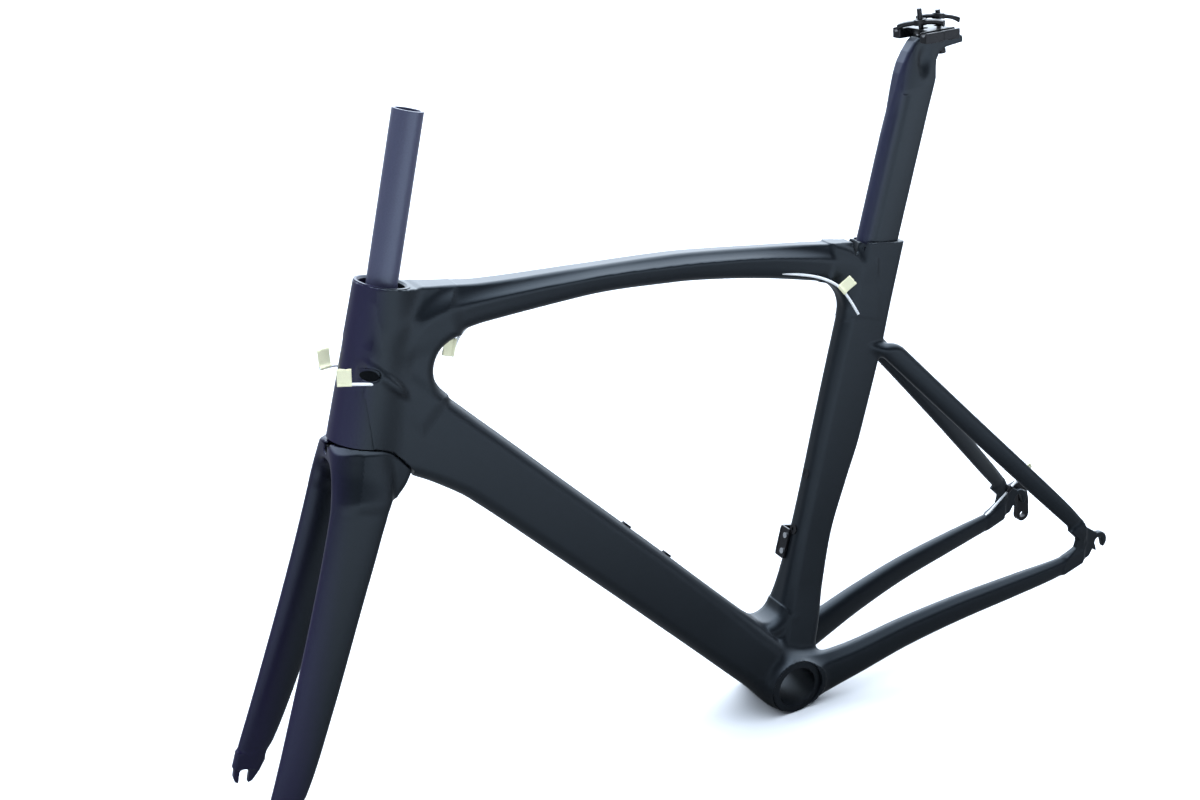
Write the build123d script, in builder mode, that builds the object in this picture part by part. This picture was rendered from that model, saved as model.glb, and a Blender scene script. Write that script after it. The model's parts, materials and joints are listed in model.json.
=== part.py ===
"""Carbon aero road bicycle frameset: frame, fork, seatpost and saddle clamp.

Millimetres.  +X points forward, +Y to the rider's left, +Z up.
The origin is the centre of the bottom-bracket bore.
"""
from build123d import *
import os
from math import cos, radians, sin, tan

# ---------------------------------------------------------------- driving dimensions
HEAD_ANGLE = 73.4            # steering axis above the horizontal
SEAT_ANGLE = 73.4            # seat tube above the horizontal
REACH = 392.5                # bottom bracket to head-tube top, forward
STACK = 542.5                # bottom bracket to head-tube top, up
HEAD_LENGTH = 148.0
HEAD_TOP_R = 25.4
HEAD_BOTTOM_R = 29.4
STEERER_R = 14.3             # 28.6 mm clamp diameter
STEERER_BASE_R = 19.9        # tapers to a 1.5 inch crown seat
STEERER_TOP = 154.0          # above the head-tube top
STEERER_WALL = 3.0
CROWN_GAP = 1.2
FORK_LENGTH = 366.0          # head-tube bottom to front axle, along the steering axis
FORK_RAKE = 45.0
FORK_INNER = 100.0           # between the fork tips
BB_BORE_R = 23.0
BB_SHELL_R = 30.0
BB_WIDTH = 86.5
REAR_INNER = 130.0           # between the rear dropouts
REAR_AXLE_X = -399.0
REAR_AXLE_Z = 68.0
DOWN_ANGLE = 47.2
WALL = 1.8
POST_WALL = 2.4
POST_FRONT = -20.2           # post section, measured rearwards from the seat line
POST_REAR = 26.6
POST_HALF = 11.0
POST_FIT = 0.15              # running gap between the post and its socket
SEAT_TOP = 479.0             # length of the seat tube along the seat line
POST_FOOT = 372.0
POST_SHOULDER = 640.0
LINER_R = 1.4
AXLE_SLOT = 10.0             # rear dropout slot
FRONT_SLOT = 9.2             # fork tip slot
BOSS_SPACING = 64.0
M5_R = 2.1                   # tapped M5 hole


# ---------------------------------------------------------------- placing and drawing
def rearward(angle):
    """Unit vectors along a line that rises to the rear, and square to it, rearwards."""
    a = radians(angle)
    return Vector(-cos(a), 0, sin(a)), Vector(-sin(a), 0, -cos(a))


def on_line(origin, angle, along, behind=0.0, left=0.0):
    up, back = rearward(angle)
    return Vector(*origin) + up * along + back * behind + Vector(0, left, 0)


def head_point(along, behind=0.0, left=0.0):
    """Point measured up the steering axis from the head tube's top."""
    return on_line((REACH, 0, STACK), HEAD_ANGLE, along, behind, left)


def seat_point(along, behind=0.0, left=0.0):
    """Point measured up the seat line from the bottom bracket."""
    return on_line((0, 0, 0), SEAT_ANGLE, along, behind, left)


def down_point(along, above=0.0, left=0.0):
    """Point measured up the down tube's line from the bottom bracket."""
    a = radians(DOWN_ANGLE)
    return Vector(cos(a) * along - sin(a) * above, left, sin(a) * along + cos(a) * above)


def head_plane(along):
    """Plane across the steering axis: its X is left and its Y is rearward."""
    return Plane(head_point(along), x_dir=(0, 1, 0), z_dir=rearward(HEAD_ANGLE)[0])


def seat_plane(along):
    return Plane(seat_point(along), x_dir=(0, 1, 0), z_dir=rearward(SEAT_ANGLE)[0])


def down_plane(along):
    a = radians(DOWN_ANGLE)
    return Plane(down_point(along), x_dir=(0, 1, 0), z_dir=(cos(a), 0, sin(a)))


def upright_plane(x):
    """Plane across the bicycle at x: its X is left and its Y is up."""
    return Plane((x, 0, 0), x_dir=(0, 1, 0), z_dir=(1, 0, 0))


def rounded(plane, points, radii):
    """Closed outline through corner points, each corner rounded."""
    with BuildSketch(plane, mode=Mode.PRIVATE) as outline:
        with BuildLine():
            FilletPolyline(*points, radius=radii, close=True)
        make_face()
    return outline.sketch


def box_section(plane, half, low, high, low_r, high_r, inset=0.0, shift=0.0):
    """Tube section `2 * half` wide, from `low` to `high`, with its own corner radius at each end."""
    w, a, b = half - inset, low + inset, high - inset
    points = [(shift - w, a), (shift + w, a), (shift + w, b), (shift - w, b)]
    r1, r2 = max(low_r - inset, 0.6), max(high_r - inset, 0.6)
    return rounded(plane, points, [r1, r1, r2, r2])


def top_section(x, top, crease, bottom, top_half, crease_half, bottom_half, inset=0.0):
    """Six-sided top-tube section: flat crown, a crease at its widest and a narrower keel."""
    t, c, b = top - inset, crease, bottom + inset
    tw, cw, bw = top_half - inset * 0.6, crease_half - inset, bottom_half - inset
    points = [(-bw, b), (bw, b), (cw, c), (tw, t), (-tw, t), (-cw, c)]
    return rounded(upright_plane(x), points, [7, 7, 3, 2.2, 2.2, 3])


def pin(start, end, radius):
    """Round bar between two points."""
    axis = Vector(*end) - Vector(*start)
    with BuildPart(Plane(start, z_dir=axis), mode=Mode.PRIVATE) as bar:
        Cylinder(radius, axis.length, align=(Align.CENTER, Align.CENTER, Align.MIN))
    return bar.part


def tube(sections):
    """Solid through a row of sections, straight between one and the next."""
    with BuildPart(mode=Mode.PRIVATE) as solid:
        loft(sections, ruled=True)
    return solid.part


def save(builder, name):
    builder.part.label = name
    export_step(builder.part, f"parts/{name}.step")


os.makedirs("parts", exist_ok=True)

# ---------------------------------------------------------------- tube stations
# down tube: distance up its line, half width, lower edge, upper edge, corner radii
DOWN_STATIONS = [
    (4, 39, -33.0, 31.0, 18, 20),
    (60, 33, -33.0, 31.0, 16, 16),
    (130, 25, -32.8, 31.2, 13, 12),
    (250, 21.5, -32.6, 32.2, 12, 10),
    (400, 20.5, -33.0, 32.2, 12, 10),
    (460, 21.0, -34.0, 32.2, 12, 10),
    (500, 21.5, -39.5, 32.0, 12, 10),
    (540, 22.0, -49.5, 32.0, 12, 10),
    (562, 22.0, -55.0, 35.0, 12, 10),
    (580, 22.0, -58.0, 48.0, 12, 10),
    (600, 22.0, -60.0, 70.0, 12, 10),
]
# seat tube: distance up the seat line, half width, front edge, rear edge, corner radii
SEAT_STATIONS = [
    (22, 30, -34.0, 30.0, 16, 14),
    (60, 25, -24.0, 31.0, 12, 10),
    (110, 17.5, -19.5, 27.5, 10, 8),
    (170, 14.5, -18.6, 24.5, 10, 7),
    (230, 14, -18.8, 29.0, 10, 7),
    (280, 14, -20.6, 33.2, 10, 7),
    (380, 14, -22.0, 34.6, 10, 7),
    (430, 14, -22.3, 33.0, 10, 7),
    (SEAT_TOP + 16, 14, -22.3, 31.6, 10, 7),
]
# top tube: x, top, crease and bottom heights, half widths of crown, crease and keel
TOP_STATIONS = [
    (-124, 474.0, 452.0, 398.0, 8.6, 11.6, 9.5),
    (-104, 476.2, 455.0, 404.0, 9.2, 12.8, 10.2),
    (-86, 478.5, 462.0, 428.0, 9.0, 14.0, 11.0),
    (-50, 484.8, 472.0, 445.5, 8.0, 15.5, 11.5),
    (0, 492.7, 483.4, 458.5, 7.0, 17.0, 12.0),
    (100, 507.5, 498.5, 477.0, 8.5, 18.5, 13.0),
    (200, 515.5, 507.0, 485.3, 9.5, 19.0, 13.5),
    (300, 523.5, 509.6, 484.0, 11.0, 19.5, 14.5),
    (340, 530.0, 509.0, 479.5, 13.0, 20.5, 15.5),
    (362, 534.0, 506.0, 460.0, 15.0, 21.0, 17.0),
    (400, 541.0, 504.0, 420.0, 17.0, 21.0, 18.0),
]


def down_loft(inset=0.0):
    return [box_section(down_plane(s), w, a, b, ra, rb, inset) for s, w, a, b, ra, rb in DOWN_STATIONS]


def seat_loft(inset=0.0):
    return [box_section(seat_plane(s), w, a, b, ra, rb, inset) for s, w, a, b, ra, rb in SEAT_STATIONS]


def top_loft(inset=0.0):
    return [top_section(*station, inset) for station in TOP_STATIONS]


# ---------------------------------------------------------------- solid envelopes that neighbours butt against
with BuildPart() as bb_body:
    with BuildSketch(Plane.XZ.offset(-BB_WIDTH / 2)):
        Circle(BB_SHELL_R)
    extrude(amount=BB_WIDTH)

with BuildPart() as head_body:
    with BuildSketch(head_plane(-HEAD_LENGTH)):
        Circle(HEAD_BOTTOM_R)
    with BuildSketch(head_plane(0)):
        Circle(HEAD_TOP_R)
    loft()

down_body = tube(down_loft())
seat_body = tube(seat_loft())
top_body = tube(top_loft())


# room swept by the turning crown: flat below the head tube, then a cone around the steering axis
def around_steerer(points):
    """Solid of revolution about the steering axis from (radius, height) points."""
    up, back = rearward(HEAD_ANGLE)
    plane = Plane(head_point(0), x_dir=back, z_dir=back.cross(up))
    with BuildPart(mode=Mode.PRIVATE) as turned:
        with BuildSketch(plane):
            with BuildLine():
                Polyline(*points, close=True)
            make_face()
        revolve(axis=Axis(head_point(0), up))
    return turned.part


CONE_SLOPE = tan(radians(43))
TAIL_R = 53.0                # reach of the crown's tail from the steering axis
CROWN_TOP = -HEAD_LENGTH - CROWN_GAP
tail_drop = (TAIL_R - HEAD_BOTTOM_R) * CONE_SLOPE
crown_room = around_steerer([
    (0, -HEAD_LENGTH), (HEAD_BOTTOM_R, -HEAD_LENGTH), (TAIL_R + 2, -HEAD_LENGTH - tail_drop - 1.4),
    (TAIL_R + 2, -HEAD_LENGTH - 90), (0, -HEAD_LENGTH - 90),
])

# ---------------------------------------------------------------- cable liners
def mirrored(points, side):
    return [Vector(p.X, side * p.Y, p.Z) for p in points]


def bends(points):
    """Largest arc that the two runs at each corner of a route allow."""
    radii = []
    for before, corner, after in zip(points, points[1:], points[2:]):
        first, second = corner - before, after - corner
        turn = radians(first.get_angle(second))
        radii.append(0.45 * min(first.length, second.length) / tan(turn / 2))
    return radii


def round_tube(points, radius):
    """Round bar along straight runs joined by arcs."""
    with BuildLine(mode=Mode.PRIVATE) as path:
        FilletPolyline(*points, radius=bends(points))
    with BuildPart(mode=Mode.PRIVATE) as bar:
        with BuildSketch(Plane(points[0], z_dir=points[1] - points[0])):
            Circle(radius)
        sweep(path=path.wires()[0])
    return bar.part, path.wires()[0].length


def liner(points, name):
    with BuildPart() as cord:
        bar, length = round_tube(points, LINER_R)
        add(bar)
    print(name, "length", round(length, 1), "radii", [round(r) for r in bends(points)])
    save(cord, name)


def tape(start, towards, length, turned, wide, name):
    """Flag of folded tape round a liner's end: a thin plate with a sleeve round the liner."""
    along = (towards - start).normalized()
    with BuildPart() as flag:
        with BuildSketch(Plane(start, x_dir=turned, z_dir=along)):
            Circle(LINER_R + 0.5)
            with Locations((wide / 2, 0)):
                Rectangle(wide, 1.0)
            Circle(LINER_R + 0.05, mode=Mode.SUBTRACT)
        extrude(amount=length)
    save(flag, name)


# head port: outside end, bend, inside the head tube, behind it; then down the down tube
HEAD_TAIL = [head_point(-90, -37, 24.0), head_point(-85.5, -14.5, 32.0), head_point(-87.5, -3.5, 26.8)]
HEAD_RUN = [
    head_point(-87.5, -3.5, 26.8), head_point(-90, 10, 20.5), head_point(-103, 31, 13.0),
    down_point(532, 2, 10), down_point(400, -4, 9), down_point(220, -1, 12), down_point(38, -3, 16),
]
TOP_FRONT_TAIL = [Vector(337, 5, 459), Vector(330, 3.4, 478), Vector(315.3, 2.03, 483.95)]
TOP_RUN = [
    Vector(315.3, 2.03, 483.95), Vector(288, -0.5, 495), Vector(190, -3, 501), Vector(90, 2, 491),
    Vector(16, 8.5, 472), Vector(-24, 11.4, 461.3),
]
TOP_REAR_TAIL = [
    Vector(-24, 11.4, 461.3), Vector(-40, 12.6, 457), Vector(-60, 16, 451), Vector(-79, 20.5, 440),
    Vector(-91, 23.5, 424), Vector(-101, 25, 404),
]
STAY_RUN = [
    Vector(-33, -32.5, 0.5), Vector(-72, -38, 8), Vector(-144, -46.5, 25), Vector(-215, -55, 37.5),
    Vector(-285, -62, 46), Vector(-345, -66.5, 55), Vector(-376, -62.0, 83.6),
]
STAY_TAIL = [
    Vector(-376, -62.0, 83.6), Vector(-390, -60, 96.5), Vector(-401, -59, 105), Vector(-411, -58.5, 112),
]
PORT_R = 2.6


def drill(points):
    """Cutter for a port that a liner passes through."""
    return round_tube(points, PORT_R)[0]


# ---------------------------------------------------------------- head tube
BEARING_R = 26.0             # 52 mm integrated bearing, 45 degree seat
BEARING_DEPTH = 8.5
BEARING_LEDGE_R = 23.2
UPPER_SEAT_R = 21.0
with BuildPart() as head_tube:
    add(around_steerer([
        (UPPER_SEAT_R, -9), (UPPER_SEAT_R, -1.8), (22.8, 0), (HEAD_TOP_R, 0), (HEAD_BOTTOM_R, -HEAD_LENGTH),
        (BEARING_R, -HEAD_LENGTH), (BEARING_R, -HEAD_LENGTH + BEARING_DEPTH),
        (BEARING_LEDGE_R, -HEAD_LENGTH + BEARING_DEPTH),
        (22.2, -22), (19.6, -12), (19.6, -9),
    ]))
    for side in (1, -1):
        add(drill(mirrored([HEAD_TAIL[1], HEAD_RUN[1], HEAD_RUN[2]], side)), mode=Mode.SUBTRACT)
save(head_tube, "head_tube")

# ---------------------------------------------------------------- bottom-bracket shell
with BuildPart() as bb_shell:
    add(bb_body)
    with BuildSketch(Plane.XZ.offset(-BB_WIDTH / 2)):
        Circle(BB_BORE_R)
    extrude(amount=BB_WIDTH, mode=Mode.SUBTRACT)
save(bb_shell, "bb_shell")

# ---------------------------------------------------------------- seatpost section and its socket
def post_section(along, inset=0.0):
    return box_section(seat_plane(along), POST_HALF, POST_FRONT, POST_REAR, 10.4, 4.0, inset)


SOCKET_FOOT = 320.0
socket_room = tube([
    seat_loft(WALL)[5],
    post_section(SOCKET_FOOT, -POST_FIT),
    post_section(SEAT_TOP + 30, -POST_FIT),
])
seat_cavity = tube(seat_loft(WALL)[:6])

WEDGE_BEHIND = -28.0          # middle of the wedge pocket, measured from the seat line
WEDGE_LOW = SEAT_TOP - 27
with BuildPart() as wedge_room:
    with BuildSketch(seat_plane(WEDGE_LOW)):
        with Locations((0, WEDGE_BEHIND)):
            RectangleRounded(9.6, 19, 4.6)
    extrude(amount=50)

collar_plane = Plane((-112, 0, 474.6), x_dir=(0, 1, 0), z_dir=(-sin(radians(10)), 0, cos(radians(10))))

# ---------------------------------------------------------------- bottle bosses and rivets
BARREL_R = 3.4
BARREL_LENGTH = 10.0
FLANGE_R = 5.5


def boss(foot, outward, flange_t):
    """Riveted M5 insert: flange on the tube, barrel inside it."""
    out = outward.normalized()
    flange = foot + out * flange_t
    with BuildPart(mode=Mode.PRIVATE) as insert:
        add(pin(foot, flange, FLANGE_R))
        add(pin(foot - out * BARREL_LENGTH, foot, BARREL_R))
        add(pin(foot - out * (BARREL_LENGTH + 1), flange + out, M5_R), mode=Mode.SUBTRACT)
    return insert.part


def boss_holes(feet, outward):
    """Cutter for the inserts' barrels."""
    out = outward.normalized()
    with BuildPart(mode=Mode.PRIVATE) as cutter:
        for foot in feet:
            add(pin(foot - out * (BARREL_LENGTH + 2), foot + out * 3, BARREL_R + 0.05))
    return cutter.part


DOWN_BOSS_ALONG = (222, 222 + BOSS_SPACING)
SEAT_BOSS_ALONG = (168, 168 + BOSS_SPACING)
down_up = (down_point(0, 1) - down_point(0, 0)).normalized()
seat_front = seat_point(0, -1) - seat_point(0, 0)
down_feet = [down_point(along, 32.3) for along in DOWN_BOSS_ALONG]
seat_feet = [seat_point(along, -19.1) for along in SEAT_BOSS_ALONG]
RIVET_ALONG = (140, 158)
RIVET_LEFT = -7.0
RIVET_R = 1.6


# ---------------------------------------------------------------- main tubes, hollow and butted together
with BuildPart() as crown_skin:
    add(around_steerer([
        (0, -HEAD_LENGTH + 30), (HEAD_BOTTOM_R, -HEAD_LENGTH + 3), (TAIL_R + 5, -HEAD_LENGTH - tail_drop + 1),
        (TAIL_R + 5, -HEAD_LENGTH - 90), (0, -HEAD_LENGTH - 90),
    ]))

with BuildPart() as down_cavity:
    add(tube(down_loft(WALL)))
    add(crown_skin, mode=Mode.SUBTRACT)

with BuildPart() as down_shell:
    add(down_body)
    add(down_cavity, mode=Mode.SUBTRACT)
    add(head_body, mode=Mode.SUBTRACT)
    add(bb_body, mode=Mode.SUBTRACT)
    add(crown_room, mode=Mode.SUBTRACT)
    add(boss_holes(down_feet, down_up), mode=Mode.SUBTRACT)

# the tube and the flared part that meets the head tube are moulded apart and bonded end to end
FLARE_FROM = 462.0
for name, keep in (("down_tube", Keep.BOTTOM), ("down_tube_flare", Keep.TOP)):
    with BuildPart() as section:
        add(down_shell)
        split(bisect_by=down_plane(FLARE_FROM), keep=keep)
    save(section, name)

with BuildPart() as seat_tube:
    add(seat_body)
    add(seat_cavity, mode=Mode.SUBTRACT)
    add(socket_room, mode=Mode.SUBTRACT)
    add(wedge_room, mode=Mode.SUBTRACT)
    add(bb_body, mode=Mode.SUBTRACT)
    add(down_body, mode=Mode.SUBTRACT)
    add(boss_holes(seat_feet, seat_front), mode=Mode.SUBTRACT)
    for along in RIVET_ALONG:
        add(pin(seat_point(along, -24, RIVET_LEFT), seat_point(along, -10, RIVET_LEFT), RIVET_R + 0.05),
            mode=Mode.SUBTRACT)
    split(bisect_by=collar_plane, keep=Keep.BOTTOM)
save(seat_tube, "seat_tube")

with BuildPart() as top_tube:
    add(top_body)
    add(tube(top_loft(WALL)), mode=Mode.SUBTRACT)
    add(head_body, mode=Mode.SUBTRACT)
    add(down_body, mode=Mode.SUBTRACT)
    add(wedge_room, mode=Mode.SUBTRACT)
    add(drill([*TOP_FRONT_TAIL[:2], TOP_RUN[1]]), mode=Mode.SUBTRACT)
    add(drill([TOP_RUN[-2], TOP_REAR_TAIL[1], TOP_REAR_TAIL[2]]), mode=Mode.SUBTRACT)
    split(bisect_by=collar_plane, keep=Keep.BOTTOM)
    split(bisect_by=Plane(seat_point(0, -22.4), z_dir=seat_front), keep=Keep.TOP)
save(top_tube, "top_tube")

# ---------------------------------------------------------------- stays
# x, distance from the middle plane, height, half width, half height
CHAIN_STATIONS = [
    (-18, 30, -3, 12.5, 26.5),
    (-72, 38, 7, 11.5, 21.0),
    (-144, 46.5, 24, 10, 17.5),
    (-215, 55, 36, 9, 15.2),
    (-285, 62, 43.5, 8, 13.2),
    (-340, 67, 49, 6.5, 11.2),
    (-374, 68.5, 54.5, 5.4, 9.5),
]
STAY_STATIONS = [
    (-124, 9, 377, 6.5, 16.5),
    (-150, 13.5, 348, 6.6, 16.2),
    (-240, 33.5, 245.6, 6.6, 15.6),
    (-304, 50, 172.6, 6.3, 15.2),
    (-357, 64.5, 112, 5.6, 13.8),
    (-375, 67.2, 91.5, 4.6, 11.5),
]


def ellipse_at(x, left, height, half_w, half_h, inset=0.0, side=1):
    with BuildSketch(upright_plane(x), mode=Mode.PRIVATE) as outline:
        with Locations((side * left, height)):
            Ellipse(half_w - inset, half_h - inset)
    return outline.sketch


def stay_cavity(stations, side):
    return tube([ellipse_at(*station, inset=WALL, side=side) for station in stations])


def dropout_outline(hook_r=10.5):
    """Outline of a dropout plate, seen from the left, slot included."""
    with BuildSketch(Plane.XZ, mode=Mode.PRIVATE) as plate:
        with BuildLine():
            Polyline(
                (-356, 41), (-357, 63), (-366, 69), (-369, 80), (-360, 97), (-372, 105),
                (REAR_AXLE_X + 2, REAR_AXLE_Z + hook_r), (REAR_AXLE_X + 6, REAR_AXLE_Z - 4), (-386, 53),
                close=True,
            )
        make_face()
        with Locations((REAR_AXLE_X - 1, REAR_AXLE_Z)):
            Circle(hook_r + 1)
        with Locations((REAR_AXLE_X, REAR_AXLE_Z), (REAR_AXLE_X, REAR_AXLE_Z - 10)):
            Circle(AXLE_SLOT / 2, mode=Mode.SUBTRACT)
        with Locations((REAR_AXLE_X, REAR_AXLE_Z - 10)):
            Rectangle(AXLE_SLOT, 20, mode=Mode.SUBTRACT)
    return plate.sketch


DROPOUT_T = 7.0
SCREW_SPOTS = [(REAR_AXLE_X - 9.2, REAR_AXLE_Z + 7), (REAR_AXLE_X + 8, REAR_AXLE_Z + 10)]
SCREW_R = 1.5
for side, word in ((1, "left"), (-1, "right")):
    with BuildPart() as dropout:
        with BuildSketch(Plane.XZ.offset(-side * REAR_INNER / 2)):
            add(dropout_outline())
        extrude(amount=-side * DROPOUT_T)
        if side < 0:
            add(drill(STAY_RUN[4:]), mode=Mode.SUBTRACT)
            for x, z in SCREW_SPOTS:
                add(pin((x, -60, z), (x, -80, z), SCREW_R + 0.05), mode=Mode.SUBTRACT)
    save(dropout, f"rear_dropout_{word}")

    chain_body = tube([ellipse_at(*station, side=side) for station in CHAIN_STATIONS])
    with BuildPart() as chainstay:
        add(chain_body)
        add(stay_cavity(CHAIN_STATIONS, side), mode=Mode.SUBTRACT)
        add(bb_body, mode=Mode.SUBTRACT)
        add(down_body, mode=Mode.SUBTRACT)
        add(seat_body, mode=Mode.SUBTRACT)
        add(dropout, mode=Mode.SUBTRACT)
        if side < 0:
            add(drill(STAY_RUN[4:]), mode=Mode.SUBTRACT)
    save(chainstay, f"chainstay_{word}")

    with BuildPart() as seatstay:
        add(tube([ellipse_at(*station, side=side) for station in STAY_STATIONS]))
        add(stay_cavity(STAY_STATIONS, side), mode=Mode.SUBTRACT)
        add(seat_body, mode=Mode.SUBTRACT)
        add(dropout, mode=Mode.SUBTRACT)
        add(chain_body, mode=Mode.SUBTRACT)
        if side < 0:
            add(drill(STAY_RUN[4:]), mode=Mode.SUBTRACT)
    save(seatstay, f"seatstay_{word}")

# ---------------------------------------------------------------- rear brake bridge between the seatstays
BRAKE_BORE_R = 3.05
BRIDGE = Vector(-160, 0, 336.5)
BRIDGE_AXIS = Vector(-0.751, 0, 0.660)
with BuildPart() as brake_bridge:
    with BuildSketch(Plane(BRIDGE, x_dir=(0, 1, 0), z_dir=BRIDGE_AXIS)):
        RectangleRounded(34, 19, 5)
    extrude(amount=5.5, both=True)
    for side in (1, -1):
        add(tube([ellipse_at(*station, side=side) for station in STAY_STATIONS]), mode=Mode.SUBTRACT)
    add(seat_body, mode=Mode.SUBTRACT)
    add(pin(BRIDGE - BRIDGE_AXIS * 20, BRIDGE + BRIDGE_AXIS * 20, BRAKE_BORE_R), mode=Mode.SUBTRACT)
save(brake_bridge, "brake_bridge")

# ---------------------------------------------------------------- derailleur hanger, its screws, the cable stop
HANGER_BORE = Vector(REAR_AXLE_X - 13, 0, 40)
HANGER_Y = -REAR_INNER / 2 - DROPOUT_T
HANGER_T = 7.0
HANGER_THREAD_R = 4.6
with BuildPart() as derailleur_hanger:
    with BuildSketch(Plane.XZ.offset(-HANGER_Y)):
        with BuildLine():
            Polyline(
                (-386, 82), (-404, 86), (-416, 79), (-420, 60), (-421, 40), (-403, 40), (-404.2, 58),
                (REAR_AXLE_X - AXLE_SLOT / 2, REAR_AXLE_Z), (REAR_AXLE_X, 74), (-386, 73), close=True,
            )
        make_face()
        with Locations((HANGER_BORE.X, HANGER_BORE.Z)):
            Circle(9)
            Circle(HANGER_THREAD_R, mode=Mode.SUBTRACT)
        with Locations(*SCREW_SPOTS):
            Circle(SCREW_R + 0.1, mode=Mode.SUBTRACT)
        with Locations((REAR_AXLE_X, REAR_AXLE_Z)):
            Circle(AXLE_SLOT / 2, mode=Mode.SUBTRACT)
    extrude(amount=HANGER_T)
save(derailleur_hanger, "derailleur_hanger")

with BuildPart() as hanger_screws:
    for x, z in SCREW_SPOTS:
        add(pin((x, HANGER_Y + DROPOUT_T - 1, z), (x, HANGER_Y - HANGER_T, z), SCREW_R))
        add(pin((x, HANGER_Y - HANGER_T, z), (x, HANGER_Y - HANGER_T - 1.6, z), 2.7))
        with BuildSketch(Plane.XZ.offset(-HANGER_Y + HANGER_T + 1.6)):
            with Locations((x, z)):
                RegularPolygon(1.1, 6)
        extrude(amount=-1.2, mode=Mode.SUBTRACT)
save(hanger_screws, "hanger_screws")

with BuildPart() as rear_cable_stop:
    stop_run = STAY_TAIL[1] - STAY_TAIL[0]
    add(pin(STAY_TAIL[0] + stop_run * 0.08, STAY_TAIL[0] + stop_run * 0.53, 3.0))
    add(pin(STAY_TAIL[0], STAY_TAIL[1], LINER_R + 0.15), mode=Mode.SUBTRACT)
save(rear_cable_stop, "rear_cable_stop")


# ---------------------------------------------------------------- bottle bosses
with BuildPart() as down_tube_bosses:
    for foot in down_feet:
        add(boss(foot, down_up, 2.0))
save(down_tube_bosses, "down_tube_bosses")

with BuildPart() as seat_tube_bosses:
    for foot in seat_feet:
        add(boss(foot, seat_front, 0.9))
save(seat_tube_bosses, "seat_tube_bosses")

# ---------------------------------------------------------------- front derailleur tab with its rivets
TAB_SIDE = -16.4
TAB_LOW = 132.0
TAB_HIGH = 166.0
TAB_T = 2.2
with BuildPart() as front_derailleur_tab:
    with BuildSketch(Plane(seat_point((TAB_LOW + TAB_HIGH) / 2, 0, TAB_SIDE), x_dir=rearward(SEAT_ANGLE)[0],
                           z_dir=(0, -1, 0))):
        with Locations((0, -14)):
            RectangleRounded(TAB_HIGH - TAB_LOW, 17, 4)
            SlotOverall(24, 5.2, mode=Mode.SUBTRACT)
    extrude(amount=TAB_T)
    with BuildSketch(Plane(seat_point((TAB_LOW + TAB_HIGH) / 2, -20.0), x_dir=(0, 1, 0), z_dir=seat_front)):
        with Locations((-10.6, 0)):
            RectangleRounded(16, TAB_HIGH - TAB_LOW, 2)
    extrude(amount=TAB_T)
    for along in RIVET_ALONG:
        add(pin(seat_point(along, -24, RIVET_LEFT), seat_point(along, -18, RIVET_LEFT), RIVET_R + 0.05),
            mode=Mode.SUBTRACT)
save(front_derailleur_tab, "front_derailleur_tab")

with BuildPart() as front_derailleur_rivets:
    for along in RIVET_ALONG:
        face = -20.0 - TAB_T
        add(pin(seat_point(along, face, RIVET_LEFT), seat_point(along, -12, RIVET_LEFT), RIVET_R))
        add(pin(seat_point(along, face - 1.2, RIVET_LEFT), seat_point(along, face, RIVET_LEFT), 2 * RIVET_R))
save(front_derailleur_rivets, "front_derailleur_rivets")

# ---------------------------------------------------------------- lower headset bearing and crown race
BEARING_TOP = -HEAD_LENGTH + BEARING_DEPTH - 0.2
BEARING_LOW = BEARING_TOP - 7.0
OUTER_RACE_R = 23.6
INNER_RACE_R = 21.2
BALL_R = 1.1
BALL_RING_R = 22.4
BALL_COUNT = 30
with BuildPart() as bearing_outer:
    add(around_steerer([
        (BEARING_R - 0.05, BEARING_LOW), (BEARING_R - 0.05, BEARING_TOP),
        (OUTER_RACE_R, BEARING_TOP), (OUTER_RACE_R, BEARING_LOW),
    ]))
save(bearing_outer, "lower_bearing_outer")
with BuildPart() as bearing_inner:
    add(around_steerer([
        (STEERER_BASE_R + 0.05, BEARING_LOW), (STEERER_BASE_R + 0.05, BEARING_TOP),
        (INNER_RACE_R, BEARING_TOP), (INNER_RACE_R, BEARING_LOW),
    ]))
save(bearing_inner, "lower_bearing_inner")
with BuildPart() as bearing_balls:
    with Locations(head_plane((BEARING_LOW + BEARING_TOP) / 2)):
        with PolarLocations(BALL_RING_R, BALL_COUNT):
            Sphere(BALL_R)
save(bearing_balls, "lower_bearing_balls")
with BuildPart() as crown_race:
    add(around_steerer([
        (STEERER_BASE_R + 0.05, CROWN_TOP), (23.0, CROWN_TOP), (22.0, BEARING_LOW - 0.05),
        (STEERER_BASE_R + 0.05, BEARING_LOW - 0.05),
    ]))
save(crown_race, "crown_race")

# ---------------------------------------------------------------- fork
# below the head tube's top: distance, offset from the middle, half width, front edge, rear edge
BLADE_STATIONS = [
    (-198, 33, 9.5, -28.5, 27.0),
    (-260, 38, 9.0, -32.0, 16.5),
    (-340, 44, 8.4, -38.5, 3.0),
    (-420, 49.5, 7.6, -46.5, -8.0),
    (-480, 53.5, 6.6, -53.5, -20.0),
    (-502, 54.0, 5.6, -55.5, -30.0),
]
AXLE_ALONG = -HEAD_LENGTH - FORK_LENGTH
BRAKE_ALONG = -158.0
ARCH_ALONG = -191.0
ARCH_R = 22.5


def blade_section(along, left, half, front, rear, inset=0.0, side=1):
    return box_section(head_plane(along), half, front, rear, half * 0.92, half * 0.6, inset, side * left)


def crown_section(along, half, tail_half, front, shoulder, tail, radii):
    points = [
        (-half, front), (half, front), (half, shoulder),
        (tail_half, tail), (-tail_half, tail), (-half, shoulder),
    ]
    return rounded(head_plane(along), points, radii)


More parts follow.
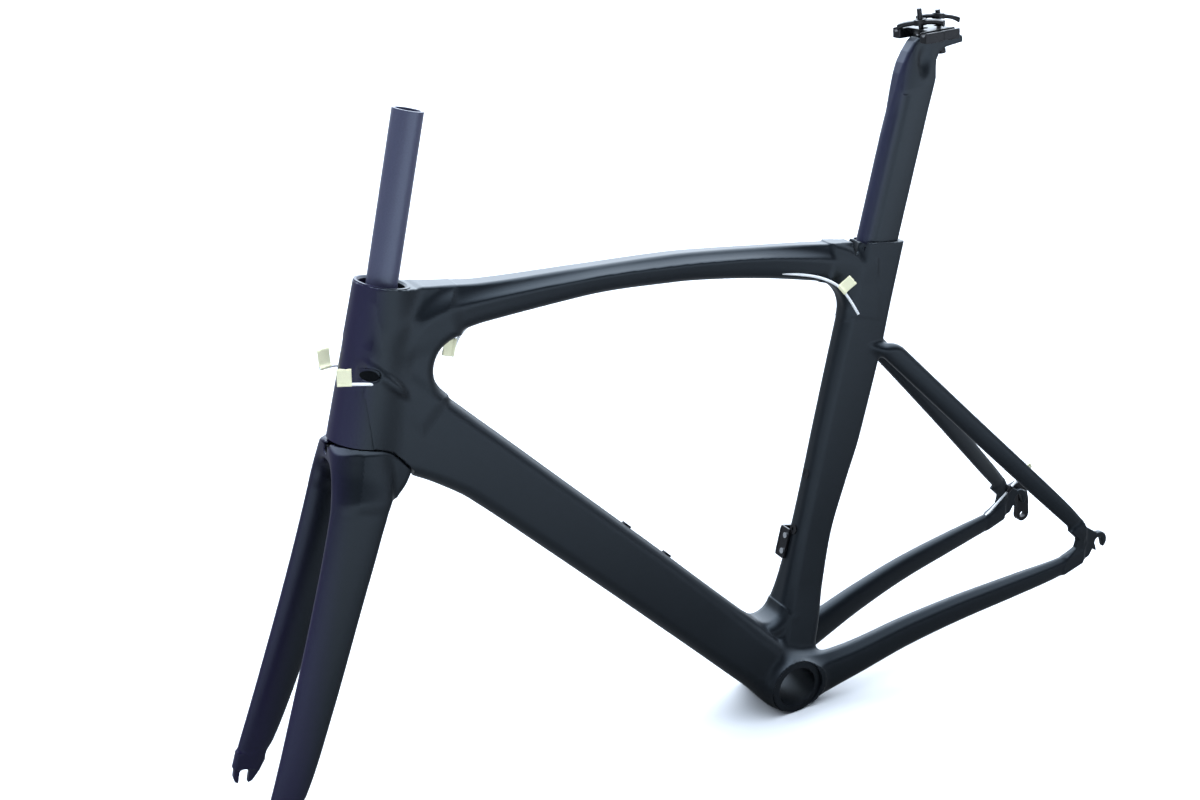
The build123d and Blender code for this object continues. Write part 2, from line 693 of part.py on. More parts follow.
with BuildPart() as fork_crown:
    add(tube([
        crown_section(CROWN_TOP + 1, 29.4, 10, -29.4, 6, 52.5, [28, 28, 18, 8, 8, 18]),
        crown_section(-176, 34, 10.5, -29.4, 10, 52.5, [24, 24, 18, 8, 8, 18]),
        crown_section(-188, 38, 14, -29, 14, 50, [18, 18, 18, 8, 8, 18]),
        crown_section(-198, 42.5, 30, -28.5, 20, 27.2, [8, 8, 8, 6, 6, 8]),
    ]))
    add(around_steerer([
        (0, CROWN_TOP), (HEAD_BOTTOM_R - 0.6, CROWN_TOP), (TAIL_R + 8, CROWN_TOP - tail_drop - 11),
        (TAIL_R + 8, 0), (0, 0),
    ]), mode=Mode.SUBTRACT)
    with BuildSketch(Plane(head_point(ARCH_ALONG), x_dir=(0, 1, 0), z_dir=rearward(HEAD_ANGLE)[1])):
        Circle(ARCH_R)
        with Locations((0, -15)):
            Rectangle(2 * ARCH_R, 30)
    extrude(amount=80, both=True, mode=Mode.SUBTRACT)
    add(pin(head_point(BRAKE_ALONG, -60), head_point(BRAKE_ALONG, 70), 4.1), mode=Mode.SUBTRACT)
save(fork_crown, "fork_crown")

with BuildPart() as brake_sleeve:
    add(pin(head_point(BRAKE_ALONG, -28.6), head_point(BRAKE_ALONG, 25), 4.05))
    add(pin(head_point(BRAKE_ALONG, -30), head_point(BRAKE_ALONG, 26), BRAKE_BORE_R), mode=Mode.SUBTRACT)
save(brake_sleeve, "brake_sleeve")

TAPER_TOP = -62.0
TAPER_FOOT = -132.0
with BuildPart() as steerer:
    add(around_steerer([
        (STEERER_R - STEERER_WALL, STEERER_TOP), (STEERER_R, STEERER_TOP), (STEERER_R, TAPER_TOP),
        (STEERER_BASE_R, TAPER_FOOT), (STEERER_BASE_R, CROWN_TOP), (STEERER_BASE_R - 4, CROWN_TOP),
        (STEERER_BASE_R - 4, TAPER_FOOT), (STEERER_R - STEERER_WALL, TAPER_TOP),
    ]))
save(steerer, "steerer")

for side, word in ((1, "left"), (-1, "right")):
    tip_plane = Plane(head_point(AXLE_ALONG, -FORK_RAKE), x_dir=rearward(HEAD_ANGLE)[1], z_dir=(0, -1, 0))
    with BuildPart() as fork_tip:
        with BuildSketch(tip_plane.offset(-side * FORK_INNER / 2)):
            with BuildLine():
                Polyline((-9, 12), (14, 12), (17, 4), (9, -9), (-9, -9), close=True)
            make_face()
            Circle(11)
            Circle(FRONT_SLOT / 2, mode=Mode.SUBTRACT)
            with Locations((0, -10)):
                Rectangle(FRONT_SLOT, 20, mode=Mode.SUBTRACT)
        extrude(amount=-side * 7.5)
    save(fork_tip, f"fork_tip_{word}")

    with BuildPart() as blade:
        add(tube([blade_section(*station, side=side) for station in BLADE_STATIONS]))
        add(tube([blade_section(*station, WALL, side) for station in BLADE_STATIONS]), mode=Mode.SUBTRACT)
        add(fork_tip, mode=Mode.SUBTRACT)
    save(blade, f"fork_blade_{word}")

# ---------------------------------------------------------------- seatpost and its head
TILT = Vector(-210.5, 0, 684)     # axis that the saddle clamp tilts about
CRADLE_R = 16.0
CRADLE_TOP = 677.0
CRADLE_HALF = 27.0
RAIL_Y = 22.0
RAIL_R = 3.55
BOLT_R = 2.5
BOLT_LEAN = Vector(0.137, 0, 0.9906)
FRONT_YOKE = Vector(-199.6, 0, 684)
REAR_YOKE = Vector(-221.5, 0, 687)
BOLT_SLOTS = ((-203.5, 16.2, 9.4), (-225.2, 14.0, 6.4))     # x, length and width through the post head
SLOT_FLOOR = 648.0
BOLT_SEATS = {"front": 655.3, "rear": 653.8}                # height of each bolt head's upper face
BOLT_HEAD_R = 3.9
BOLT_HEAD_T = 4.5
with BuildPart() as seatpost:
    add(tube([post_section(POST_FOOT), post_section(POST_SHOULDER)]))
    add(tube([post_section(POST_FOOT, POST_WALL), post_section(POST_SHOULDER, POST_WALL)]), mode=Mode.SUBTRACT)
save(seatpost, "seatpost")

with BuildPart() as post_head:
    with BuildSketch(Plane.XZ):
        with BuildLine():
            front_foot = seat_point(POST_SHOULDER, POST_FRONT)
            rear_foot = seat_point(POST_SHOULDER, POST_REAR)
            Polyline(
                (front_foot.X, front_foot.Z), (-168, 650), (-174, 661), (-183, 671), (-238, 671), (-249, 664),
                (-249, 657), (-221, 656.5), (-217, 652), (-217.5, 640), (-220, 630), (rear_foot.X, rear_foot.Z),
                close=True,
            )
        make_face()
    extrude(amount=POST_HALF - 0.4, both=True)
    add(pin(TILT - Vector(0, 40, 0), TILT + Vector(0, 40, 0), CRADLE_R + 0.35), mode=Mode.SUBTRACT)
    for middle, length, width in BOLT_SLOTS:
        with BuildSketch(Plane.XY.offset(SLOT_FLOOR)):
            with Locations((middle, 0)):
                Rectangle(length, width)
        extrude(amount=30, mode=Mode.SUBTRACT)
save(post_head, "post_head")

with BuildPart() as saddle_cradle:
    with BuildSketch(Plane.XZ):
        with Locations((TILT.X, TILT.Z)):
            Circle(CRADLE_R)
        with Locations((TILT.X, CRADLE_TOP + 20)):
            Rectangle(60, 40, mode=Mode.SUBTRACT)
    extrude(amount=CRADLE_HALF, both=True)
    for side in (1, -1):
        rail_y = side * RAIL_Y
        add(pin((-240, rail_y, CRADLE_TOP), (-180, rail_y, CRADLE_TOP), RAIL_R), mode=Mode.SUBTRACT)
    for yoke in (FRONT_YOKE, REAR_YOKE):
        add(pin(yoke - BOLT_LEAN * 30, yoke + BOLT_LEAN * 5, BOLT_R + 0.4), mode=Mode.SUBTRACT)
save(saddle_cradle, "saddle_cradle")

for word, yoke, above in (("front", FRONT_YOKE, 14.1), ("rear", REAR_YOKE, 6.6)):
    foot = yoke - BOLT_LEAN * ((yoke.Z - BOLT_SEATS[word]) / BOLT_LEAN.Z)
    with BuildPart() as clamp_bolt:
        add(pin(foot, yoke + BOLT_LEAN * above, BOLT_R))
        add(pin(foot - BOLT_LEAN * BOLT_HEAD_T, foot, BOLT_HEAD_R))
        with BuildSketch(Plane(foot - BOLT_LEAN * BOLT_HEAD_T, z_dir=BOLT_LEAN)):
            RegularPolygon(2.0, 6)
        extrude(amount=3, mode=Mode.SUBTRACT)
    save(clamp_bolt, f"{word}_clamp_bolt")


def yoke_bar(middle, normal, toward, half_length, half_width, thick, hole_r):
    """Upper yoke: a round-ended bar with a boss at its bolt."""
    plane = Plane(middle, x_dir=toward, z_dir=normal)
    with BuildPart(mode=Mode.PRIVATE) as bar:
        with BuildSketch(plane.offset(-thick / 2)):
            SlotOverall(2 * half_length, 2 * half_width)
            Circle(half_width + 1.0)
            Circle(hole_r, mode=Mode.SUBTRACT)
        extrude(amount=thick)
    return bar.part


REAR_TILT = Vector(-BOLT_LEAN.X, 0, BOLT_LEAN.Z)
with BuildPart() as front_yoke:
    add(yoke_bar(FRONT_YOKE, BOLT_LEAN, Vector(-14.4, 19.1, 2.0), 23.9, 4.0, 4.4, BOLT_R + 0.08))
save(front_yoke, "front_yoke")
with BuildPart() as rear_yoke:
    add(yoke_bar(REAR_YOKE, REAR_TILT, Vector(-21.6, 6.9, -3.0), 22.6, 3.0, 4.0, BOLT_R + 0.8))
save(rear_yoke, "rear_yoke")

# ---------------------------------------------------------------- seatpost wedge
with BuildPart() as seat_wedge:
    with BuildSketch(seat_plane(WEDGE_LOW + 3.2)):
        with Locations((0, WEDGE_BEHIND - 1)):
            RectangleRounded(8.8, 15.4, 4.2)
    extrude(amount=18)
    add(pin(seat_point(WEDGE_LOW, WEDGE_BEHIND - 1), seat_point(WEDGE_LOW + 40, WEDGE_BEHIND - 1), 2.6),
        mode=Mode.SUBTRACT)
save(seat_wedge, "seat_wedge")

WEDGE_TOP = WEDGE_LOW + 21.2
WEDGE_HEAD_TOP = WEDGE_TOP + 3.2
WEDGE_AXIS_BEHIND = WEDGE_BEHIND - 1
with BuildPart() as wedge_bolt:
    add(pin(seat_point(WEDGE_LOW + 4, WEDGE_AXIS_BEHIND), seat_point(WEDGE_TOP, WEDGE_AXIS_BEHIND), 2.5))
    add(pin(seat_point(WEDGE_TOP, WEDGE_AXIS_BEHIND), seat_point(WEDGE_HEAD_TOP, WEDGE_AXIS_BEHIND), 3.9))
    with BuildSketch(seat_plane(WEDGE_HEAD_TOP)):
        with Locations((0, WEDGE_AXIS_BEHIND)):
            RegularPolygon(2.2, 6)
    extrude(amount=-2.4, mode=Mode.SUBTRACT)
save(wedge_bolt, "wedge_bolt")

# ---------------------------------------------------------------- liners, their loose ends and tape flags
for side, word in ((1, "left"), (-1, "right")):
    liner(mirrored(HEAD_RUN, side), f"shift_liner_{word}")
    tail = mirrored(HEAD_TAIL, side)
    liner(tail, f"head_liner_end_{word}")
    tape(tail[0], tail[1], 9, Vector(-0.2, side * 0.3, 0.93), 14, f"head_tape_{word}")
liner(TOP_FRONT_TAIL, "top_front_liner_end")
liner(TOP_RUN, "top_tube_liner")
liner(TOP_REAR_TAIL, "top_rear_liner_end")
liner(STAY_RUN, "chainstay_liner")
liner(STAY_TAIL, "chainstay_liner_end")
tape(TOP_FRONT_TAIL[0], TOP_FRONT_TAIL[1], 5.5, Vector(-0.9, 0.2, -0.4), 13, "top_front_tape")
rear_flag = TOP_REAR_TAIL[3] + (TOP_REAR_TAIL[4] - TOP_REAR_TAIL[3]) * 0.28
tape(rear_flag, TOP_REAR_TAIL[4], 9, Vector(0.8, -0.1, 0.5), 15, "top_rear_tape")
tape(STAY_TAIL[3], STAY_TAIL[2], 6, Vector(0.3, 0.5, 0.8), 9, "chainstay_tape")
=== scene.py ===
import json
import math

import bmesh
import bpy
import numpy as np
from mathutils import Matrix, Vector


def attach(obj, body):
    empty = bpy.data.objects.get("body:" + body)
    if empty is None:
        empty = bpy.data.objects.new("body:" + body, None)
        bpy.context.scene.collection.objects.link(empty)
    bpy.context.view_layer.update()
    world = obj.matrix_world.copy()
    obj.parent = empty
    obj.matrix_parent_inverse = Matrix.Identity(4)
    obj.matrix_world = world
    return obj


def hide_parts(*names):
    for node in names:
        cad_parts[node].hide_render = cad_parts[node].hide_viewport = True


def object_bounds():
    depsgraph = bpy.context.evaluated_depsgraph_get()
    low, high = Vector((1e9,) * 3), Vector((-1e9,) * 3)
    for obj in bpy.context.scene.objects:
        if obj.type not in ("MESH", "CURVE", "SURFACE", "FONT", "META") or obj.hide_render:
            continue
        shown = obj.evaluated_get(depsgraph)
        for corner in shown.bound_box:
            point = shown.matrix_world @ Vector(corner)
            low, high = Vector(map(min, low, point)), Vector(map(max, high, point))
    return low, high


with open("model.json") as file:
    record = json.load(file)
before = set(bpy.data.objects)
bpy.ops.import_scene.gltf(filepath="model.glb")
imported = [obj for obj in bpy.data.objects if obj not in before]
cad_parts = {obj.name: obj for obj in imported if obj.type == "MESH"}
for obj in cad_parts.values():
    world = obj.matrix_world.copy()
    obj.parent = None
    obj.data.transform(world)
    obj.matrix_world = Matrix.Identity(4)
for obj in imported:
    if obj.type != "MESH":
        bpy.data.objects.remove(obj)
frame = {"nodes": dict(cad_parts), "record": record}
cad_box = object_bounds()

import openvdb
from mathutils import Matrix, Vector

MM = 0.001
BIG = 1e3

# ---------------------------------------------------------------- frame geometry, millimetres
HEAD_ANGLE = math.radians(73.4)
SEAT_ANGLE = math.radians(73.4)
DOWN_ANGLE = math.radians(47.2)
SHELL_CENTRE = (0, 0)
HEAD_TOP = (392.5, 542.5)
HEAD_LENGTH = 148.0
HEAD_TOP_R = 25.85
HEAD_TAPER = 4.0
HEAD_BORE_R = 23.6
HEAD_BORE_BOTTOM = -160
HEAD_SHAFT = -6
HEAD_RIM = 0.6
RIM_SLOPES_BEHIND = 27
RIM_SLOPE = 0.4
SHELL_R = 30.2
SHELL_HALF = 42.6
SHELL_FACE_R = 29.7
SKIN_BOTTOM = -29.8
OUTER_SIDE = 73.6
SECTION_SWELL = 1.1

# fork crown: it widens downwards from one height, and its sides slant inwards over its depth to the tail
CROWN_R = 29.4
CROWN_TOP = -149.2
CROWN_WIDENS_AT = -152
CROWN_WIDENS_OVER = 50
CROWN_WIDENING = 0.2
CROWN_DEPTH = 45.0
CROWN_TAIL = 51.5
CROWN_BOTTOM = -198
CROWN_REAR_BOTTOM = (-184, 48)
CROWN_UNDER_SLOPE = 1.33
# the gap between the head tube and the turning crown is a cone
CROWN_SWEEP_R = 55
CONE_ANGLE = math.radians(43)
CONE_SLOPE = math.tan(CONE_ANGLE)
CONE_COS = math.cos(CONE_ANGLE)

# down tube: distance up its line, half width, lower edge, upper edge, lower and upper corner radius
DOWN_LENGTH = 640
DOWN_STATIONS = [
    (0, 39.5, -33.0, 31.0, 20, 20), (60, 33.5, -33.0, 31.0, 18, 18), (130, 25.6, -32.8, 31.2, 15, 14),
    (250, 22.0, -32.6, 32.2, 14, 12), (400, 21.0, -33.0, 32.2, 14, 12), (460, 21.4, -34.0, 32.2, 14, 12),
    (500, 21.8, -39.5, 32.0, 14, 12), (540, 22.2, -49.5, 32.0, 14, 12), (562, 22.4, -55.0, 32.0, 14, 12),
    (640, 22.4, -70.0, 32.0, 14, 12),
]
# seat tube: distance up the seat line, half width, front edge, rear edge, front and rear corner radius
SEAT_STATIONS = [
    (0, 34, -34.0, 30.0, 18, 16), (30, 30, -30.0, 30.5, 16, 14), (60, 25, -24.0, 31.0, 14, 12),
    (110, 17.8, -19.7, 27.7, 12, 9), (170, 14.6, -18.8, 24.7, 11, 7), (230, 14.2, -19.6, 29.0, 11, 7),
    (280, 14.2, -20.8, 33.4, 11, 7), (380, 14.2, -22.2, 34.8, 11, 7), (430, 14.2, -22.5, 33.2, 11, 7),
    (500, 14.2, -22.5, 31.8, 11, 7),
]
# top tube: x, top, crease and bottom heights, half widths of crown, crease and keel
TOP_ENDS = (-132, 402)
TOP_BULGE = 1.3
TOP_STATIONS = [
    (-130, 472.6, 450.0, 424.0, 9.0, 13.2, 10.0), (-104, 476.2, 455.0, 429.0, 9.0, 13.4, 10.5),
    (-86, 478.5, 462.0, 435.0, 8.6, 14.0, 11.0), (-50, 484.8, 472.0, 445.5, 7.6, 15.5, 11.5),
    (0, 492.7, 483.4, 458.5, 7.0, 17.0, 12.0), (50, 500.5, 491.6, 469.0, 7.6, 17.8, 12.5),
    (100, 507.2, 498.3, 477.0, 8.5, 18.5, 13.0), (200, 515.5, 507.0, 485.3, 9.5, 19.0, 13.5),
    (300, 523.5, 509.6, 484.0, 11.0, 19.7, 14.5), (340, 530.3, 509.0, 479.5, 13.0, 20.7, 15.5),
    (362, 534.3, 506.0, 476.0, 15.0, 21.6, 17.0), (400, 542.5, 503.0, 470.0, 17.0, 22.6, 18.0),
]
# stays: x, distance from the middle plane, height, half width, half height
CHAIN_CREASE = 0.97
CHAIN_STATIONS = [
    (0, 27, -5, 13.0, 28.0), (-18, 30, -3, 12.8, 26.8), (-72, 38, 7, 11.7, 21.2),
    (-144, 46.5, 24, 10.2, 17.7), (-215, 55, 36, 9.2, 15.4), (-285, 62, 43.5, 8.2, 13.4),
    (-340, 66.6, 49, 6.4, 11.4), (-374, 68.0, 54.5, 4.8, 9.5),
]
STAY_STATIONS = [
    (-118, 11.5, 384, 6.9, 16.7), (-150, 15.8, 348, 7.0, 16.4), (-240, 33.5, 245.6, 6.8, 15.8),
    (-304, 50, 172.6, 6.5, 15.4), (-357, 64.5, 112, 5.8, 14.0), (-376, 67.6, 90.3, 4.2, 11.5),
]
# the seatstays' roots end level on top, and in front at a plane: its direction in x and z, its distance
STAY_ROOT_TOP = 358.0
ROOT_PLANE = (-0.97, 0.24)
ROOT_PLANE_AT = 206.5
# the sloped mouth of the seat tube, with a pocket for the wedge: half width and half depth,
# and room for the post: half width, front, rear, front and rear corner radius
COLLAR_AT = (-112, 474.9)
COLLAR_SLOPE = math.radians(10)
POCKET_BOTTOM = 452
POCKET_BEHIND = -28
POCKET_SIZE = (10.5, 4.6)
POST_ROOM_BOTTOM = 440
POST_ROOM = (11.5, -20.7, 27.1, 4.5, 10.9)
# webs in the corners of the main triangle: arc centre and radius, direction and half spread in degrees,
# half width, edge radius
BOTTOM_WEB = ((15.4, 91.7), 20.0, 257, 60, 22.0, 12)
HEAD_WEB = ((326, 448), 33.0, 21, 64, 20.5, 12)
SEAT_WEB = ((-59.5, 404.5), 37.0, 151, 46, 13.2, 9)
# each liner port's hollow: along the head tube's line and behind it, half sizes, distance from the middle
HOLLOW_AT = (-79, -9)
HOLLOW_SIZE = (5.5, 9.5)
HOLLOW_FLOOR = 19
# a lip falls away behind the hollow: along, behind, aside, half sizes, steepness
LIP_AT = (-84, 10, 24)
LIP_SIZE = (6.5, 19, 7.5)
LIP_FALL = 0.62

# fork blade below the head tube's top: distance, inner and outer side, front and rear edge
FORK_LIMIT = 594.2
BLADE_POWER = 2.5
BLADE_STATIONS = [
    (-145, -6, 28.0, -28.4, 14.0), (-160, 6, 30.0, -29.2, 18.0), (-176, 16.5, 33.5, -29.3, 23.0),
    (-198, 22.5, 41.5, -28.8, 26.5), (-230, 26.4, 44.8, -30.0, 22.0), (-300, 32.0, 49.6, -35.0, 11.0),
    (-400, 40.2, 55.8, -44.5, -4.5), (-478, 46.8, 60.0, -53.2, -19.5), (-500, 49.2, 59.4, -55.5, -29.0),
    (-508, 50.2, 58.6, -56.5, -33.0),
]
BLADE_SHAPE = [
    (along, (inner + outer) / 2, (front + rear) / 2, (outer - inner) / 2, (rear - front) / 2)
    for along, inner, outer, front, rear in BLADE_STATIONS
]
# the arch between the blades, and the sagging line that its top follows
ARCH_R = 22.0
ARCH_TOP = -191
ARCH_SAG_R = 345.0
BRAKE_HOLE_R = 4.2
BRAKE_HOLE_ALONG = -158
# fork tip about its axle: rearward and up, along the head tube
FORK_AXLE = (-514.0, -45.0)
FORK_TIP = [
    (-9.5, 22), (-10.5, 4), (-10.5, -5), (-8, -10.5), (-2, -12),
    (4, -11.5), (9, -9), (15, 2), (19, 14), (17, 22),
]
TIP_INNER = 50.0
TIP_THICK = 7.5
FRONT_SLOT_R = 4.7

# seatpost: the axis its cradle tilts about, its half thickness and how it thins in the head and to its
# edges, its corner radii, the groove and the dent in each side, and its side view
TILT = (-210.5, 684)
POST_SEAT_R = 16.35
POST_HALF = 11.0
POST_HEAD_NARROWING = 2.6
POST_LENS = 2.6
POST_FRONT_EDGE = 9.3
POST_REAR_EDGE = 5.5
POST_HEAD_EDGE = 3.0
GROOVE_BEHIND = -10.2
GROOVE_OUT = 11.4
GROOVE_SIZE = (3.2, 1.5)
GROOVE_TOP = 640
DENT_AT = (-197, 648)
DENT_SIZE = (7, 13.0, 4.5)
POST_SIDE = [
    (-87.0, 362.3), (-152.1, 580.7), (-160.0, 604.5), (-169.5, 638), (-173.5, 648), (-179.5, 658),
    (-187, 667), (-192, 670.5), (-238, 670.5), (-249, 664), (-249, 657.5), (-228, 655.5), (-219, 651.5),
    (-215, 645), (-214.5, 637), (-214.8, 627.1), (-210.5, 612), (-202.5, 585), (-131.8, 348.9),
]
# saddle clamp: a rocker with seats for the two rails, held by a bolt and a yoke in front and behind;
# a seat is x, half width, rear and front reach
CRADLE_R = 15.9
CRADLE_HALF = 27.5
CRADLE_BOTTOM = 667.5
CRADLE_TOP = 677
FRONT_SEAT = (-196, 6.5, -11.5, 10.5)
REAR_SEAT = (-220.5, 6.0, -7.5, 7.5)
RAIL_SPACING = 22
RAIL_HEIGHT = 0.6
RAIL_R = 3.6
CLAMP_BOLTS = (-203.5, -221.5)
CLAMP_BOLT_LEAN = 0.13
CLAMP_HOLE_R = 4.2
YOKE_BOSS_R = 5.6
YOKE_HOLE_R = 2.75
YOKE_DROOP = 2.4
YOKE_END_THICKENING = 1.6

# rear dropout and its slot
DROPOUT = [
    (-350, 42), (-353, 60), (-366, 69), (-369, 80), (-358, 92),
    (-374, 97), (-397, 80), (-393, 64), (-386, 53),
]
DROPOUT_EYE = (-400, 68)
DROPOUT_EYE_R = 11.5
DROPOUT_MIDDLE = 68.5
DROPOUT_HALF = 3.5
REAR_AXLE = (-399, 68)
REAR_SLOT_R = 5.1
REAR_SLOT_LEAN = 0.28


# ---------------------------------------------------------------- distance fields
def smooth_steps(x, table, column):
    """Value of one column of a station table at x, along a monotone cubic."""
    xs = np.array([row[0] for row in table], float)
    ys = np.array([row[column] for row in table], float)
    if xs[0] > xs[-1]:
        xs, ys = xs[::-1], ys[::-1]
    gap = np.diff(xs)
    rise = np.diff(ys) / gap
    slope = np.zeros_like(ys)
    product = rise[:-1] * rise[1:]
    total = np.where(np.abs(rise[:-1] + rise[1:]) < 1e-9, 1.0, rise[:-1] + rise[1:])
    slope[1:-1] = np.where(product > 0, 2 * product / total, 0.0)
    slope[0], slope[-1] = rise[0], rise[-1]
    at = np.clip(x, xs[0], xs[-1])
    i = np.clip(np.searchsorted(xs, at, side="right") - 1, 0, len(gap) - 1)
    t = (at - xs[i]) / gap[i]
    h = gap[i]
    return (
        ys[i] * (2 * t**3 - 3 * t**2 + 1) + h * slope[i] * (t**3 - 2 * t**2 + t)
        + ys[i + 1] * (3 * t**2 - 2 * t**3) + h * slope[i + 1] * (t**3 - t**2)
    )


def along_line(x, z, origin, angle):
    """Distance up a line that leans back at angle, and distance behind it."""
    dx, dz = x - origin[0], z - origin[1]
    return -math.cos(angle) * dx + math.sin(angle) * dz, -math.sin(angle) * dx - math.cos(angle) * dz


def join(a, b, fillet):
    """Union with a fillet."""
    h = np.maximum(fillet - np.abs(a - b), 0.0) / fillet
    return np.minimum(a, b) - h * h * fillet / 4


def meet(a, b, fillet):
    """What a and b share, the edge rounded."""
    return -join(-a, -b, fillet)


def cut(a, b, fillet):
    """a with b taken away, the edge rounded."""
    return -join(-a, b, fillet)


def ramp(value, start, length):
    """0 up to start, then straight up to 1."""
    return np.clip((value - start) / length, 0, 1)


def ellipsoid(offsets, radii):
    """Rough distance to an ellipse or ellipsoid, from the offsets to its centre."""
    k = np.sqrt(sum((offset / radius) ** 2 for offset, radius in zip(offsets, radii)))
    return (k - 1) * min(radii)


def soft_corner(qu, qv):
    """Distance to a corner from the distances past its two sides."""
    return np.minimum(np.maximum(qu, qv), 0) + np.hypot(np.maximum(qu, 0), np.maximum(qv, 0))


def rounded(u, v, half, low, high, r_low, r_high):
    """Section `2 * half` wide about u = 0, from low to high in v, with slightly swollen sides."""
    middle = (low + high) / 2
    r = np.where(v > middle, r_high, r_low)
    swell = SECTION_SWELL * np.clip((v - middle) / (high - low) * 2, -1, 1) ** 2
    qu = np.abs(u) - half + r + np.minimum(swell, half * 0.1)
    qv = np.abs(v - middle) - (high - low) / 2 + r
    return soft_corner(qu, qv) - r


def station_box(u, v, at, table):
    """A rounded section whose sizes follow a station table."""
    columns = [smooth_steps(at, table, i) for i in range(1, len(table[0]))]
    return rounded(u, v, *columns)


def outline(x, z, points):
    """Distance to a closed outline in the x-z plane, negative inside."""
    best = np.full(x.shape, BIG)
    inside = np.zeros(x.shape, bool)
    for (ax, az), (bx, bz) in zip(points, points[1:] + points[:1]):
        ex, ez = bx - ax, bz - az
        t = np.clip(((x - ax) * ex + (z - az) * ez) / (ex * ex + ez * ez), 0, 1)
        best = np.minimum(best, np.hypot(x - ax - t * ex, z - az - t * ez))
        crosses = (az > z) != (bz > z)
        inside ^= crosses & (x < ax + (z - az) * ex / np.where(ez == 0, 1e-9, ez))
    return np.where(inside, -best, best)


def plate(flat, y, middle, half, edge):
    """A flat shape given thickness about y = middle, with rounded edges."""
    return soft_corner(np.abs(y - middle) - half + edge, flat + edge) - edge


def stay(x, y, z, table, power=2.4, crease=None):
    """A tube along x with superellipse sections; crease cuts a facet high on its outer side."""
    left, high, half_w, half_h = (smooth_steps(x, table, i) for i in range(1, 5))
    step = 2.0
    left_rate = (smooth_steps(x + step, table, 1) - left) / step
    high_rate = (smooth_steps(x + step, table, 2) - high) / step
    u, v = (np.abs(y) - left) / half_w, (z - high) / half_h
    k = (np.abs(u) ** power + np.abs(v) ** power + 1e-9) ** (1 / power)
    ku = np.sign(u) * (np.abs(u) / k) ** (power - 1) / half_w
    kv = np.sign(v) * (np.abs(v) / k) ** (power - 1) / half_h
    steep = np.sqrt(ku**2 + kv**2 + (ku * left_rate + kv * high_rate) ** 2)
    first, last = sorted((table[0][0], table[-1][0]))
    body = (k - 1) / np.maximum(steep, 0.02)
    if crease:
        out, up = 0.5, 0.866
        facet = (u * out + v * up - crease) / np.hypot(out / half_w, up / half_h)
        body = meet(body, facet, 0.8)
    return np.maximum(body, np.maximum(np.maximum(first - x, x - last), np.abs(y) - OUTER_SIDE))


# ---------------------------------------------------------------- the frame's skin
def down_tube(x, y, z):
    c, s = math.cos(DOWN_ANGLE), math.sin(DOWN_ANGLE)
    along, above = c * x + s * z, c * z - s * x
    return np.maximum(station_box(y, above, along, DOWN_STATIONS), np.maximum(-along, along - DOWN_LENGTH))


def seat_tube(x, y, z):
    along, behind = along_line(x, z, SHELL_CENTRE, SEAT_ANGLE)
    return np.maximum(station_box(y, behind, along, SEAT_STATIONS), -along)


def top_tube(x, y, z):
    """A crown, bulging upper sides down to a crease, and a rounded keel."""
    top, crease, bottom, crown, wide, keel = (smooth_steps(x, TOP_STATIONS, i) for i in range(1, 7))
    y = np.abs(y)
    upper = np.hypot(top - crease, wide - crown)
    side = ((y - crown) * (top - crease) + (z - top) * (wide - crown)) / upper
    share = np.clip((top - z) / (top - crease), 0, 1)
    side = side + TOP_BULGE * 4 * share * (1 - share)
    lower = np.hypot(crease - bottom, wide - keel)
    under = ((y - wide) * (crease - bottom) - (z - crease) * (wide - keel)) / lower
    body = meet(side, under, 3.0)
    body = meet(body, z - top, 2.5)
    body = meet(body, bottom - z, 15.0)
    return np.maximum(body, np.maximum(TOP_ENDS[0] - x, x - TOP_ENDS[1]))


def head_cone(x, y, z):
    along, behind = along_line(x, z, HEAD_TOP, HEAD_ANGLE)
    radius = HEAD_TOP_R - along / HEAD_LENGTH * HEAD_TAPER
    return np.maximum(np.hypot(behind, y) - radius, np.maximum(along + 0.5, -HEAD_LENGTH - along))


def bottom_shell(x, y, z):
    return np.maximum(np.hypot(x, z) - SHELL_R, np.abs(y) - SHELL_HALF)


def web(x, y, z, centre, radius, direction, spread, half, edge):
    """Fills a corner of the triangle: outside an arc about centre, inside a sector about direction."""
    dx, dz = x - centre[0], z - centre[1]
    c, s = math.cos(math.radians(direction)), math.sin(math.radians(direction))
    ahead, aside = dx * c + dz * s, np.abs(dz * c - dx * s)
    a = math.radians(spread)
    sector = aside * math.cos(a) - ahead * math.sin(a)
    r = np.hypot(dx, dz)
    flat = np.maximum(np.maximum(radius - r, sector), r - radius * 2 - 8)
    return plate(flat, y, 0, half, edge)


def crown_room(x, y, z):
    """Space that the turning fork crown needs below the head tube."""
    along, behind = along_line(x, z, HEAD_TOP, HEAD_ANGLE)
    r = np.hypot(behind, y)
    cone = (along + HEAD_LENGTH + (r - CROWN_R) * CONE_SLOPE) * CONE_COS
    return np.maximum(np.maximum(cone, along + HEAD_LENGTH), r - CROWN_SWEEP_R)


def stay_roots(x, y, z):
    """The upper ends of the seatstays, which merge into the seat tube."""
    roots = meet(stay(x, y, z, STAY_STATIONS), z - STAY_ROOT_TOP, 9.0)
    return cut(roots, z * ROOT_PLANE[1] + x * ROOT_PLANE[0] - ROOT_PLANE_AT, 6.0)


